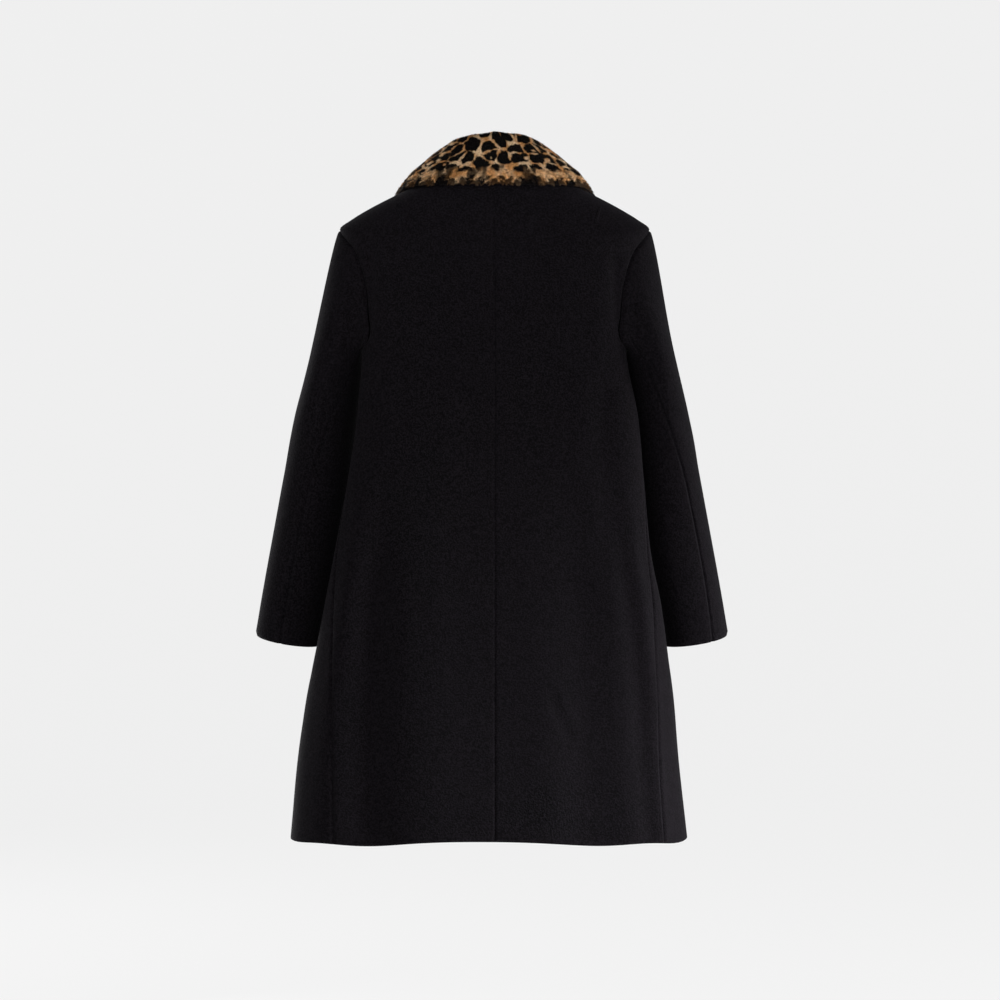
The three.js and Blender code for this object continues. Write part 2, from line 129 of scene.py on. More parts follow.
def cubic(
    t: np.ndarray, start: np.ndarray, leave: np.ndarray, end: np.ndarray, arrive: np.ndarray
) -> np.ndarray:
    """A cubic between two ends.

    Args:
        t: how far along it is, from 0 to 1.
        start: where it starts.
        leave: its direction and pace there.
        end: where it ends.
        arrive: its direction and pace there.

    Returns:
        The places at t.
    """
    return (
        (2 * t**3 - 3 * t**2 + 1) * start
        + (t**3 - 2 * t**2 + t) * leave
        + (3 * t**2 - 2 * t**3) * end
        + (t**3 - t**2) * arrive
    )


class Curve:
    """A smooth curve through points, which never swings past them."""

    def __init__(self, places: np.ndarray, values: np.ndarray) -> None:
        """Works out the slope at each point.

        Args:
            places: where the points are, rising.
            values: the value at each place.
        """
        steps = np.diff(places)
        slopes = np.diff(values) / steps
        before, after = slopes[:-1], slopes[1:]
        turning = before * after <= 0
        weight_a = 2 * steps[1:] + steps[:-1]
        weight_b = steps[1:] + 2 * steps[:-1]
        share = weight_a / np.where(turning, 1, before) + weight_b / np.where(turning, 1, after)
        middle = np.where(turning, 0, (weight_a + weight_b) / np.where(turning, 1, share))
        self.places = places
        self.values = values
        self.steps = steps
        self.tangents = np.concatenate([slopes[:1], middle, slopes[-1:]])

    def __call__(self, at: np.ndarray | float) -> np.ndarray:
        """Reads the curve.

        Args:
            at: the places asked for.

        Returns:
            Its value at each of them, held beyond its ends.
        """
        held = np.clip(at, self.places[0], self.places[-1])
        i = np.clip(np.searchsorted(self.places, held, side="right") - 1, 0, len(self.steps) - 1)
        t = (held - self.places[i]) / self.steps[i]
        leave, arrive = self.steps[i] * self.tangents[i], self.steps[i] * self.tangents[i + 1]
        return cubic(t, self.values[i], leave, self.values[i + 1], arrive)


BODY = Table(
    "z left right back front widest z_back z_front round_back round_front",
    (
        (HEM, 285, 268, 142, -168, 22, -917, -925, 2.3, 2.25),
        (-815, 275, 256, 136, -161, 26, -811, -815, 2.3, 2.2),
        (-731, 263, 249, 130, -154, 31, -729, -731, 2.3, 2.1),
        (-655, 248, 239, 124, -147, 37, -655, -655, 2.3, 2.0),
        (-603, 238, 232, 119, -142, 41, -603, -603, 2.3, 1.95),
        (-515, 221, 215, 113, -136, 46, -515, -515, 2.3, 1.9),
        (-427, 205, 207, 110, -132, 49, -428, -427, 2.3, 1.85),
        (-339, 192, 199, 110, -131, 50, -341, -341, 2.25, 1.85),
        (UNDERARM, 185, 183, 111, -131, 48, -249, -252, 2.2, 1.85),
        (-200, 196, 194, 111, -128, 32, -211, -222, 2.2, 1.9),
        (-147, 204, 203, 108, -121, 14, -170, -188, 2.1, 2.0),
        (-100, 212, 211, 101, -112, 8, -129, -161, 2.0, 2.0),
        (SHOULDER_TIP, 217, 216, 95, -104, 8, -102, -144, 2.0, 2.0),
        (-59, 200, 199, 90, -98, 8, -80, -130, 2.0, 2.0),
        (-45, 177, 176, 84, -92, 8, -59, -115, 2.0, 2.0),
        (-24, 136, 136, 76, -82, 8, -29, -96, 2.0, 2.0),
        (NECK, 84, 84, 64, -70, 8, 2, -78, 2.0, 2.0),
    ),
)
ARMHOLE = Table(
    "z back front",
    (
        (UNDERARM, 26, -34),
        (-203, 26, -34),
        (-175, 27.5, -33),
        (-150, 28, -30),
        (-125, 26.5, -24),
        (-100, 22, -16),
        (-85, 13, -9),
        (SHOULDER_TIP, 0, 0),
    ),
)
SIDE_SEAM = Table(
    "z left right",
    (
        (HEM, 42, 33),
        (-820, 39, 31.5),
        (-715, 33.5, 28),
        (-662, 28.5, 25),
        (-610, 22.5, 21),
        (-558, 15.5, 16),
        (-505, 8.5, 10.5),
        (-427, 1.5, 3.5),
        (-339, -4, -3.5),
        (UNDERARM, -7, -7),
    ),
)
SLEEVE = Table(
    "z left right y across deep turn hind_left hind_right fore",
    (
        (-268, 262, 255, -14, 37, 73, 12, 121, 93, -122),
        (-340, 280, 272, -22, 42, 69, 13, 97, 74, -122),
        (-430, 298, 289, -30, 46, 63, 13, 80, 57, -124),
        (-530, 317, 308, -40, 47.5, 57, 12, 76, 54, -126),
        (-610, 332, 323, -49, 47, 53, 10, 77, 57, -128),
        (-648, 339, 330, -54, 48, 50, 10, 77, 60, -128),
    ),
)
COLLAR = Table(
    "angle stand lean edge belly",
    (
        (-87, 17, -3, -55, 5),
        (-60, 19, -6, -52, 5),
        (-30, 22, -10, -38, 6),
        (0, 27, -13, -21, 7),
        (30, 33, -14, -17, 7),
        (60, 41.5, -12, -15, 7),
        (90, 45.5, -8, -14, 7),
    ),
)


@dataclass(frozen=True)
class Flute:
    """A soft flute of the skirt, a ridge or a trough that widens the hem.

    Attributes:
        side: the wearer's side.
        high: its angle round the section where it starts.
        low: its angle at the hem.
        spread: its half width in degrees.
        height: how far it stands out, negative for a trough.
        top: the level where it starts.
        full: the level below which it is whole.
    """

    side: Side
    high: float
    low: float
    spread: float
    height: float
    top: float
    full: float

    def lift(self, z: np.ndarray, degrees: np.ndarray) -> np.ndarray:
        """Works out how far the flute lifts the skirt.

        Args:
            z: the levels.
            degrees: the angles round the section.

        Returns:
            The lift at each of them.
        """
        growth = smooth((self.top - z) / (self.top - self.full))
        angle = self.high + (self.low - self.high) * (self.top - z) / (self.top - HEM)
        return self.height * growth * np.exp(-(((degrees - angle) / self.spread) ** 2))


FLUTES = (
    Flute(Side.LEFT, 28, 38, 8, 5, -380, -650),
    Flute(Side.LEFT, 44, 56, 8, -8, -380, -620),
    Flute(Side.LEFT, 60, 74, 10, 5, -380, -650),
    Flute(Side.RIGHT, 29, 35, 7, 7, -380, -650),
    Flute(Side.RIGHT, 40, 40, 5, -2, -380, -580),
    Flute(Side.RIGHT, 47, 48, 7.5, 4.5, -340, -600),
    Flute(Side.RIGHT, 62, 65, 8, -4.5, -340, -620),
    Flute(Side.RIGHT, 76, 76, 7, 4, -560, -860),
    Flute(Side.LEFT, -30, -32, 8, 8, -380, -800),
    Flute(Side.LEFT, -46, -50, 8, -7, -450, HEM),
    Flute(Side.LEFT, -64, -68, 7, 5, -560, HEM),
    Flute(Side.RIGHT, -28, -30, 8, 7, -400, -840),
    Flute(Side.RIGHT, -44, -48, 8, -6, -430, HEM),
    Flute(Side.RIGHT, -62, -66, 8, 5, -600, HEM),
)


@dataclass(frozen=True)
class Crease:
    """A soft crease pressed or lifted along a bowed line on a piece.

    Attributes:
        start: its start, as x and z on a panel, or as the way round and z on a sleeve.
        end: its end.
        width: half its width.
        height: how far it stands out, negative for a trough.
        bow: how far its middle bends to one side.
    """

    start: tuple[float, float]
    end: tuple[float, float]
    width: float
    height: float
    bow: float = 0.0

    def lift(self, across: np.ndarray, up: np.ndarray) -> np.ndarray:
        """Works out how far the crease moves the cloth.

        Args:
            across: the places' first coordinate.
            up: their second coordinate.

        Returns:
            The lift at each of them.
        """
        a, b = np.array(self.start), np.array(self.end)
        run = b - a
        length = float(np.hypot(*run))
        aside = np.array([-run[1], run[0]]) / length
        along = ((across - a[0]) * run[0] + (up - a[1]) * run[1]) / length**2
        beside = (across - a[0]) * aside[0] + (up - a[1]) * aside[1]
        bowed = beside - self.bow * 4 * np.clip(along, 0, 1) * (1 - np.clip(along, 0, 1))
        over = np.maximum(np.maximum(-along, along - 1), 0) * length
        fade = smooth(np.minimum(along, 1 - along) / 0.3 + 0.25)
        away = np.hypot(bowed, over) / self.width
        return self.height * fade * np.exp(-(away**2))


def smooth(t: np.ndarray | float) -> np.ndarray:
    """A soft step from 0 at t = 0 to 1 at t = 1."""
    held = np.clip(t, 0, 1)
    return held * held * (3 - 2 * held)


def unit(vectors: np.ndarray) -> np.ndarray:
    """The vectors at length 1."""
    return vectors / np.maximum(np.linalg.norm(vectors, axis=-1, keepdims=True), 1e-12)


def groove(distance: np.ndarray, depth: np.ndarray | float, width: float) -> np.ndarray:
    """How deep a pressed seam dips at a distance from its line."""
    return -depth * np.exp(-((distance / width) ** 2))


def rounded(distance: np.ndarray, radius: float) -> np.ndarray:
    """How far a turned edge rounds in at a distance from it."""
    held = np.clip(distance / radius, 0, 1)
    return -radius * (1 - np.sqrt(1 - (1 - held) ** 2))


@dataclass
class BodyForm:
    """The coat's body as a surface over a level and an angle round it.

    Attributes:
        back_anchor: the angle at which a back's even columns would end at every level.
        front_anchor: the same for a front.
        scoop: how far up the underarm's curve reaches.
        wave_top: the level at which the hem's waves start.
        wave: the greatest fall, ripple and rise of the hem.
        wave_spread: the half width of the fall and of the rise, in degrees.
        turn_step: the step for a normal, in degrees.
        level_step: the step for a normal, up and down.
    """

    back_anchor: float = 22.0
    front_anchor: float = -28.0
    scoop: float = 42.0
    wave_top: float = -780.0
    wave: Triple = (3.8, 0.8, 3.0)
    wave_spread: float = 14.0
    turn_step: float = 0.4
    level_step: float = 1.5

    def __post_init__(self) -> None:
        """Makes the curves of the tables."""
        self.body = BODY.curves()
        self.armhole = ARMHOLE.curves()
        self.side_seam = SIDE_SEAM.curves()

    def half_width(self, side: Side, z: np.ndarray) -> np.ndarray:
        """The half width on a side."""
        return self.body[side.word](z)

    def smooth_point(self, side: Side, z: np.ndarray, degrees: np.ndarray) -> np.ndarray:
        """Points of the body with no flutes.

        Args:
            side: the wearer's side.
            z: the levels.
            degrees: the angles round the section from its widest place.

        Returns:
            The points, in a last axis of three.
        """
        body = self.body
        turn = np.radians(degrees)
        c, s = np.cos(turn), np.sin(turn)
        at_back = s >= 0
        exponent = 2 / np.where(at_back, body["round_back"](z), body["round_front"](z))
        width = np.where(c >= 0, self.half_width(side, z), self.half_width(side.other, z))
        widest = body["widest"](z)
        depth = np.where(at_back, body["back"](z) - widest, widest - body["front"](z))
        height = np.where(at_back, body["z_back"](z), body["z_front"](z))
        x = side.value * width * np.sign(c) * np.abs(c) ** exponent
        y = widest + depth * np.sign(s) * np.abs(s) ** exponent
        return np.stack([x, y, z + (height - z) * s * s - self.hem_drop(side, z, degrees)], axis=-1)

    def hem_drop(self, side: Side, z: np.ndarray, degrees: np.ndarray) -> np.ndarray:
        """Works out how far the wavy hem hangs lower where the skirt flutes.

        Args:
            side: the wearer's side.
            z: the levels.
            degrees: the angles round the section.

        Returns:
            The drop at each of them.
        """
        fall, ripple, rise = self.wave
        low = smooth((self.wave_top - z) / (self.wave_top - HEM))
        lowest, highest = (55 if side is Side.LEFT else 60), 4
        lobe = np.exp(-(((degrees - lowest) / self.wave_spread) ** 2))
        rippled = ripple * np.sin(np.radians(degrees * 7 + 40 * side.value))
        raised = rise * np.exp(-(((degrees - highest) / self.wave_spread) ** 2))
        return low * (fall * lobe + rippled - raised)

    def point(self, side: Side, z: np.ndarray, degrees: np.ndarray) -> np.ndarray:
        """Points of the coat's outer surface, flutes included.

        Args:
            side: the wearer's side.
            z: the levels.
            degrees: the angles round the section.

        Returns:
            The points, in a last axis of three.
        """
        base = self.smooth_point(side, z, degrees)
        lift = sum(flute.lift(z, degrees) for flute in FLUTES if flute.side is side)
        return base + self.normal_of(self.smooth_point, side, z, degrees) * np.asarray(lift)[..., None]

    def normal_of(self, surface: Surface, side: Side, z: np.ndarray, degrees: np.ndarray) -> np.ndarray:
        """Works out the outward normals of a surface, from small steps on it.

        Args:
            surface: the surface, as a function of a side, a level and an angle.
            side: the wearer's side.
            z: the levels.
            degrees: the angles round the section.

        Returns:
            The normals at each of them.
        """
        along = surface(side, z, degrees + self.turn_step) - surface(side, z, degrees - self.turn_step)
        above, below = np.minimum(z + self.level_step, NECK), np.maximum(z - self.level_step, HEM)
        up = surface(side, above, degrees) - surface(side, below, degrees)
        return unit(np.cross(up, along) * -side.value)

    def normal(self, side: Side, z: np.ndarray, degrees: np.ndarray) -> np.ndarray:
        """The outward normals of the coat's outer surface."""
        return self.normal_of(self.point, side, z, degrees)

    def edges(self, side: Side, z: np.ndarray) -> tuple[np.ndarray, np.ndarray]:
        """Finds where the back and the front end at the side.

        Args:
            side: the wearer's side.
            z: the levels.

        Returns:
            The angle of the back's edge and of the front's edge at each level.
        """
        z = np.asarray(z, float)
        seam = self.side_seam[side.word](z)
        q = np.clip((z - UNDERARM) / self.scoop, 0, 1)
        opening = np.sqrt(1 - (1 - q) ** 2)
        ends = []
        for part in ("back", "front"):
            end = seam + (self.armhole[part](z) - seam) * opening
            ends.append(np.where(z >= SHOULDER_TIP, 0.0, end))
        return ends[0], ends[1]

    def beyond_front(self, side: Side, z: float, distance: float) -> float:
        """Finds the angle of a place past the centre front.

        Args:
            side: the side that the front belongs to.
            z: the level.
            distance: how far past the centre the place is.

        Returns:
            The angle in degrees.
        """
        width = float(self.half_width(side.other, z))
        share = (distance / width) ** (float(self.body["round_front"](z)) / 2)
        return -90 - math.degrees(math.asin(min(share, 1.0)))


@dataclass
class SleeveForm:
    """A sleeve as a tube from the armhole's edge to the cuff.

    Attributes:
        body: the body that it is sewn to.
        side: the wearer's side.
        steps: how many steps the armhole has from the underarm to the shoulder.
        under: how many of them the under sleeve covers.
        top: the level of the first whole section.
        cuff: the level of the cuff.
        tilt_step: how far up and down the tube's slope is taken from.
        outward_pull: how strongly the cap leaves sideways.
        leave: the pace at which it leaves the armhole, as a share of its reach and a length.
        arrive: the length added to its pace where it meets the first section.
        crowding: how much closer the cap's rows lie at the armhole.
    """

    body: BodyForm
    side: Side
    steps: int
    under: int
    top: float = -268.0
    cuff: float = -648.0
    tilt_step: float = 12.0
    outward_pull: float = 0.9
    leave: tuple[float, float] = (0.12, 10.0)
    arrive: float = 14.0
    crowding: float = 1.25

    def __post_init__(self) -> None:
        """Makes the curves of the table."""
        self.table = SLEEVE.curves()

    def section(self, z: np.ndarray) -> dict[str, np.ndarray]:
        """Reads the sleeve's table.

        Args:
            z: the levels.

        Returns:
            The middle, the half sizes, the turn and the outermost angle of the section at each.
        """
        t = self.table
        turn = np.radians(t["turn"](z))
        across, deep = t["across"](z), t["deep"](z)
        out = t[self.side.word](z)
        reach = np.hypot(across * np.cos(turn), deep * np.sin(turn))
        outermost = np.degrees(np.arctan2(deep * np.sin(turn), across * np.cos(turn)))
        middle = np.stack([out - reach, t["y"](z), z], axis=-1)
        return {"middle": middle, "across": across, "deep": deep, "turn": turn, "outermost": outermost}

    def point(self, z: np.ndarray, degrees: np.ndarray) -> np.ndarray:
        """Works out points round the tube, each ring tilted square to the sleeve.

        Args:
            z: the levels of the rings.
            degrees: the angles from the outermost line.

        Returns:
            The points, in a last axis of three.
        """
        s = self.section(z)
        above = self.section(np.minimum(z + self.tilt_step, self.top))["middle"]
        below = self.section(np.maximum(z - self.tilt_step, self.cuff))["middle"]
        slope = above - below
        angle = np.radians(degrees + s["outermost"])
        p, q = s["across"] * np.cos(angle), s["deep"] * np.sin(angle)
        x = p * np.cos(s["turn"]) + q * np.sin(s["turn"])
        y = q * np.cos(s["turn"]) - p * np.sin(s["turn"])
        rise = -(x * slope[..., 0] + y * slope[..., 1]) / slope[..., 2]
        m = s["middle"]
        return np.stack([self.side.value * (m[..., 0] + x), m[..., 1] + y, m[..., 2] + rise], axis=-1)

    def angles(self, z: np.ndarray) -> np.ndarray:
        """Works out the angles of the tube's columns.

        Args:
            z: the levels.

        Returns:
            A row of angles for each level, closed with the first one again.
        """
        hind = self.table[f"hind_{self.side.word}"](z)[:, None]
        fore = self.table["fore"](z)[:, None]
        top = gathered(2 * (self.steps - self.under))[None, :]
        under = gathered(2 * self.under)[None, 1:]
        return np.concatenate([hind + (fore - hind) * top, fore + (hind - 360 - fore) * under], axis=1)

    def loop(self) -> tuple[np.ndarray, np.ndarray]:
        """Follows the armhole's edge.

        Returns:
            Its points as a closed loop, and the body's normals there.
        """
        levels = armhole_levels(self.steps)
        back, front = self.body.edges(self.side, levels)
        z = np.concatenate([levels[self.under :], levels[:-1][::-1], levels[1 : self.under + 1]])
        degrees = np.concatenate([back[self.under :], front[:-1][::-1], back[1 : self.under + 1]])
        return self.body.point(self.side, z, degrees), self.body.normal(self.side, z, degrees)

    def grid(self, cap_rows: int, lower_rows: int) -> tuple[np.ndarray, np.ndarray]:
        """Works out the whole tube.

        Args:
            cap_rows: the rows from the armhole to the first whole section.
            lower_rows: the steps from there to the cuff.

        Returns:
            The tube's points, row by row, and the body's normals round the armhole.
        """
        points, normals = self.loop()
        along = np.roll(points[:-1], -1, axis=0) - np.roll(points[:-1], 1, axis=0)
        leaving = unit(np.cross(along, normals[:-1]) * -self.side.value)
        leaving = np.concatenate([leaving, leaving[:1]])
        z = np.linspace(self.top, self.cuff, lower_rows + 1)
        rings = self.point(np.repeat(z[:, None], points.shape[0], axis=1), self.angles(z))
        next_level = self.top - 10
        below = self.point(
            np.full((1, points.shape[0]), next_level), self.angles(np.array([next_level]))
        )[0]
        ring = rings[0]
        reach = np.linalg.norm(ring - points, axis=1, keepdims=True)
        sideways = self.outward_pull * np.array([self.side.value, 0, 0])
        away = unit(leaving + sideways) * (self.leave[0] * reach + self.leave[1])
        down = unit(below - ring) * (reach + self.arrive)
        t = (np.linspace(0, 1, cap_rows, endpoint=False) ** self.crowding)[:, None, None]
        return np.concatenate([cubic(t, points, away, ring, down), rings]), normals


def gathered(steps: int, pull: float = 0.6) -> np.ndarray:
    """Shares from 0 to 1, closer together at both ends."""
    share = np.linspace(0, 1, steps + 1)
    return share - pull * np.sin(2 * math.pi * share) / (2 * math.pi)


def armhole_levels(steps: int) -> np.ndarray:
    """The levels along the armhole, closer together at the underarm."""
    share = 1 - np.cos(np.linspace(0, math.pi / 2, steps + 1))
    return UNDERARM + (SHOULDER_TIP - UNDERARM) * share


# Meshes


def only(piece: bpy.types.Object) -> None:
    """Selects one object and makes it the active one.

    Args:
        piece: the object.
    """
    bpy.ops.object.select_all(action="DESELECT")
    piece.select_set(True)
    bpy.context.view_layer.objects.active = piece


def grid_piece(
    name: str, points: np.ndarray, outward: np.ndarray, uv: np.ndarray | None = None
) -> bpy.types.Object:
    """A grid primitive whose points are moved onto a form.

    Args:
        name: the piece's name.
        points: rows and columns of places, in millimetres.
        outward: a rough outward direction at each of them.
        uv: the pattern's coordinates at each of them.

    Returns:
        The piece, with its faces turned outwards.
    """
    face = np.cross(np.gradient(points, axis=1), np.gradient(points, axis=0))
    if float(np.sum(face * outward)) < 0:
        points = points[:, ::-1]
        uv = None if uv is None else uv[:, ::-1]
    rows, columns = points.shape[:2]
    bpy.ops.object.select_all(action="DESELECT")
    bpy.ops.mesh.primitive_grid_add(x_subdivisions=columns - 1, y_subdivisions=rows - 1, size=2)
    piece = bpy.context.object
    piece.name = name
    piece.data.name = name
    flat = np.empty(len(piece.data.vertices) * 3)
    piece.data.vertices.foreach_get("co", flat)
    flat = flat.reshape(-1, 3)
    column = np.rint((flat[:, 0] + 1) / 2 * (columns - 1)).astype(int)
    row = np.rint((flat[:, 1] + 1) / 2 * (rows - 1)).astype(int)
    piece.data.vertices.foreach_set("co", (points[row, column] * MM).ravel())
    if uv is not None:
        layer = piece.data.uv_layers[0]
        layer.name = "pattern"
        corner = np.empty(len(piece.data.loops), int)
        piece.data.loops.foreach_get("vertex_index", corner)
        layer.data.foreach_set("uv", (uv[row, column] * MM)[corner].ravel())
    piece.data.update()
    return piece


def add_wall(piece: bpy.types.Object, thickness: float, crisp: float = 55.0) -> None:
    """Gives a sheet its thickness, inwards, and smooths its shading.

    Args:
        piece: the sheet.
        thickness: its thickness.
        crisp: the angle in degrees past which an edge stays crisp.
    """
    only(piece)
    bpy.ops.object.modifier_add(type="SOLIDIFY")
    wall = piece.modifiers[-1]
    wall.thickness = thickness * MM
    wall.offset = -1
    bpy.ops.object.modifier_apply(modifier=wall.name)
    bpy.ops.object.shade_smooth_by_angle(angle=math.radians(crisp))


def dress(piece: bpy.types.Object, material: bpy.types.Material, slot: Slot, *nodes: str) -> None:
    """Gives a piece its finish, attaches it to the root and hides the solids that it replaces.

    Args:
        piece: the piece.
        material: its finish.
        slot: the slot of that finish; not used.
        nodes: the solids that it replaces.
    """
    piece.data.materials.clear()
    piece.data.materials.append(material)
    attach(piece, "root")
    if nodes:
        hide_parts(*nodes)
    piece.data.calc_loop_triangles()
    log.info("%s: %d triangles", piece.name, len(piece.data.loop_triangles))


def run_lengths(points: np.ndarray, axis: int) -> np.ndarray:
    """Measures along rows or columns of points.

    Args:
        points: the points, in a last axis of three.
        axis: the axis to measure along.

    Returns:
        The length up to each point.
    """
    steps = np.linalg.norm(np.diff(points, axis=axis), axis=-1)
    start = np.zeros_like(np.take(steps, [0], axis=axis))
    return np.concatenate([start, np.cumsum(steps, axis=axis)], axis=axis)


def surface_normals(points: np.ndarray) -> np.ndarray:
    """The normals of a grid of points, by small steps along it."""
    return unit(np.cross(np.gradient(points, axis=0), np.gradient(points, axis=1)))


# Pieces


@dataclass
class Panel:
    """A back or a front of the body.

    Attributes:
        name: the piece's name, which is its solid's too.
        side: the wearer's side.
        is_back: whether it is a back.
        flat: the width and length of the cloth that it is cut from, in metres; not used.
        area: the area of the cut in square metres; not used.
        creases: the creases of the panel, by x and z.
        darts: the darts sewn in it.
        cloth: the thickness of the cloth.
        lap: how far one front lies over the other.
        lap_rise: the length over which the under front sinks below the upper one.
        side_seam: how deep the side seam is pressed below the underarm.
        armhole_extra: how much deeper it is at the armhole.
        armhole_blend: the height over which it deepens.
        seam_width: the half width of that seam's dip.
        centre_seam: the depth and the half width of the centre back seam's dip.
        centre_blend: the distance from it at which the back's normals turn sideways.
        turned_edge: the radii of the turned hem and of the turned front edge.
        hem_rows: the heights of the close rows above the hem.
        edge_columns: the distances of the close columns from each edge.
        mean_width: the width that those distances are shares of.
        skirt_rows: the rows from the hem to the underarm.
        armhole_rows: the steps from there to the shoulder.
        shoulder_rows: the steps from there to the neck.
        columns: the even columns between the close ones at the edges.
        samples: the places at which a row is measured.
    """

    name: str
    side: Side
    is_back: bool
    flat: tuple[float, float]
    area: float
    creases: tuple[Crease, ...]
    darts: tuple[Dart, ...] = ()
    cloth: float = 2.4
    lap: float = 60.0
    lap_rise: float = 60.0
    side_seam: float = 2.0
    armhole_extra: float = 1.2
    armhole_blend: float = 40.0
    seam_width: float = 2.0
    centre_seam: tuple[float, float] = (1.6, 1.6)
    centre_blend: float = 15.0
    turned_edge: tuple[float, float] = (2.2, 2.0)
    hem_rows: tuple[float, ...] = (0, 0.7, 1.6, 2.8, 4.6, 7.5)
    edge_columns: tuple[float, ...] = (0, 0.8, 1.7, 2.8, 4.3, 6.6)
    mean_width: float = 260.0
    skirt_rows: int = 92
    armhole_rows: int = 66
    shoulder_rows: int = 26
    columns: int = 48
    samples: int = 161

    def levels(self) -> np.ndarray:
        """Spaces the rows, closer together at the hem and the underarm.

        Returns:
            Their levels, from the hem to the neck.
        """
        turned = HEM + np.array(self.hem_rows)
        skirt = np.linspace(HEM + 12, UNDERARM, self.skirt_rows)[:-1]
        shoulder = np.linspace(SHOULDER_TIP, NECK, self.shoulder_rows + 1)[1:]
        return np.concatenate([turned, skirt, armhole_levels(self.armhole_rows), shoulder])

    def shares(self) -> np.ndarray:
        """Shares of the width for the columns, closer together at both edges."""
        near = np.array(self.edge_columns) / self.mean_width
        return np.concatenate([near, np.linspace(0.038, 0.962, self.columns), 1 - near[::-1]])

    def row(self, body: BodyForm, z: float) -> tuple[np.ndarray, np.ndarray, np.ndarray]:
        """Places the columns of one row.

        Args:
            body: the body's form.
            z: the row's level.

        Returns:
            Their angles, and their lengths from the centre and from the side.
        """
        back, front = (float(end) for end in body.edges(self.side, z))
        centre = 90.0 if self.is_back else body.beyond_front(self.side, z, self.lap / 2)
        edge = back if self.is_back else front
        anchor = body.back_anchor if self.is_back else body.front_anchor
        runs = []
        for end in (edge, anchor):
            angles = np.linspace(centre, end, self.samples)
            runs.append(run_lengths(body.point(self.side, np.full(self.samples, z), angles), 0))
        length, even = runs[0][-1], runs[1][-1]
        share = self.shares()
        reach = np.clip(share * (even + (length - even) * share), 0, length)
        angles = np.interp(reach, runs[0], np.linspace(centre, edge, self.samples))
        return angles, reach, length - reach

    def build(self, body: BodyForm, material: bpy.types.Material) -> bpy.types.Object:
        """Builds the panel with its darts and dresses them.

        Args:
            body: the body's form.
            material: the cloth.

        Returns:
            The panel.
        """
        levels = self.levels()
        rows = [self.row(body, float(z)) for z in levels]
        degrees, from_centre, from_side = (np.array([row[i] for row in rows]) for i in range(3))
        z = np.repeat(levels[:, None], degrees.shape[1], axis=1)
        points = body.point(self.side, z, degrees)
        normals = body.normal(self.side, z, degrees)
        if self.is_back:
            normals[..., 0] *= smooth(from_centre / self.centre_blend)
            normals = unit(normals)
        seam = self.side_seam + self.armhole_extra * smooth((z - UNDERARM) / self.armhole_blend)
        lift = groove(from_side, seam, self.seam_width) + rounded(z - HEM, self.turned_edge[0])
        if self.is_back:
            pucker = 1 + 0.3 * np.sin(points[..., 2] / 2.9 + 0.6 * np.sin(points[..., 2] / 17))
            lift = lift + groove(from_centre, *self.centre_seam) * pucker
        else:
            lift = lift + rounded(from_centre, self.turned_edge[1]) + self.sink(points[..., 0])
        for crease in self.creases:
            lift = lift + crease.lift(points[..., 0], points[..., 2])
        piece = grid_piece(self.name, points + normals * lift[..., None], normals)
        add_wall(piece, self.cloth)
        dress(piece, material, Slot.WOOL, self.name)
        darts = [dart.build(body, material) for dart in self.darts]
        return piece

    def sink(self, x: np.ndarray) -> np.ndarray:
        """Works out how far the under front lies below the upper one.

        Args:
            x: the distance of each place to the left of the centre front.

        Returns:
            The lift at each of them, which is nothing on the upper front.
        """
        if self.side is Side.RIGHT:
            return np.zeros_like(x)
        room = 0.65
        return -(self.cloth + room) * smooth((self.lap / 2 + self.lap_rise - x) / self.lap_rise)


@dataclass
class Dart:
    """A shoulder dart's pressed seam, a double ridge laid on the back.

    Attributes:
        name: the piece's name.
        side: the wearer's side.
        start: its upper end, as x and z.
        end: its lower end.
        across: the places across it.
        ridge: how high it stands at each of them, with a dip along its middle.
        sunk: how deep its ends lie in the back.
        cloth: its thickness.
        rounds: how often its places on the back are put right.
        easing: the share of the error that each round takes away.
    """

    name: str
    side: Side
    start: tuple[float, float]
    end: tuple[float, float]
    across: tuple[float, ...] = (-3.4, -2.2, -1.2, -0.5, 0, 0.5, 1.2, 2.2, 3.4)
    ridge: tuple[float, ...] = (-0.5, 0.1, 0.6, 0.7, -0.45, 0.7, 0.6, 0.1, -0.5)
    sunk: float = 0.5
    cloth: float = 0.8
    rounds: int = 40
    easing: float = 0.7

    def build(self, body: BodyForm, material: bpy.types.Material) -> bpy.types.Object:
        """Builds the ridge and dresses it.

        Args:
            body: the body's form.
            material: the cloth.

        Returns:
            The ridge.
        """
        along = np.linspace(0, 1, 40)[:, None]
        across = np.array(self.across)[None, :]
        shape = np.array(self.ridge)[None, :]
        start, end = np.array(self.start), np.array(self.end)
        run = unit(end - start)
        x = start[0] + (end[0] - start[0]) * along - run[1] * across
        z = start[1] + (end[1] - start[1]) * along + run[0] * across
        level = z
        for _ in range(self.rounds):
            round_back = body.body["round_back"](level)
            ratio = np.clip(np.abs(x) / body.half_width(self.side, level), 0, 1)
            degrees = np.degrees(np.arccos(ratio ** (round_back / 2)))
            level = level - self.easing * (body.point(self.side, level, degrees)[..., 2] - z)
        normals = body.normal(self.side, level, degrees)
        fade = smooth(np.minimum(along * 4, (1 - along) * 3))
        lift = (shape + self.sunk) * fade - self.sunk
        points = body.point(self.side, level, degrees) + normals * lift[..., None]
        piece = grid_piece(self.name, points, normals)
        add_wall(piece, self.cloth)
        dress(piece, material, Slot.WOOL)
        return piece


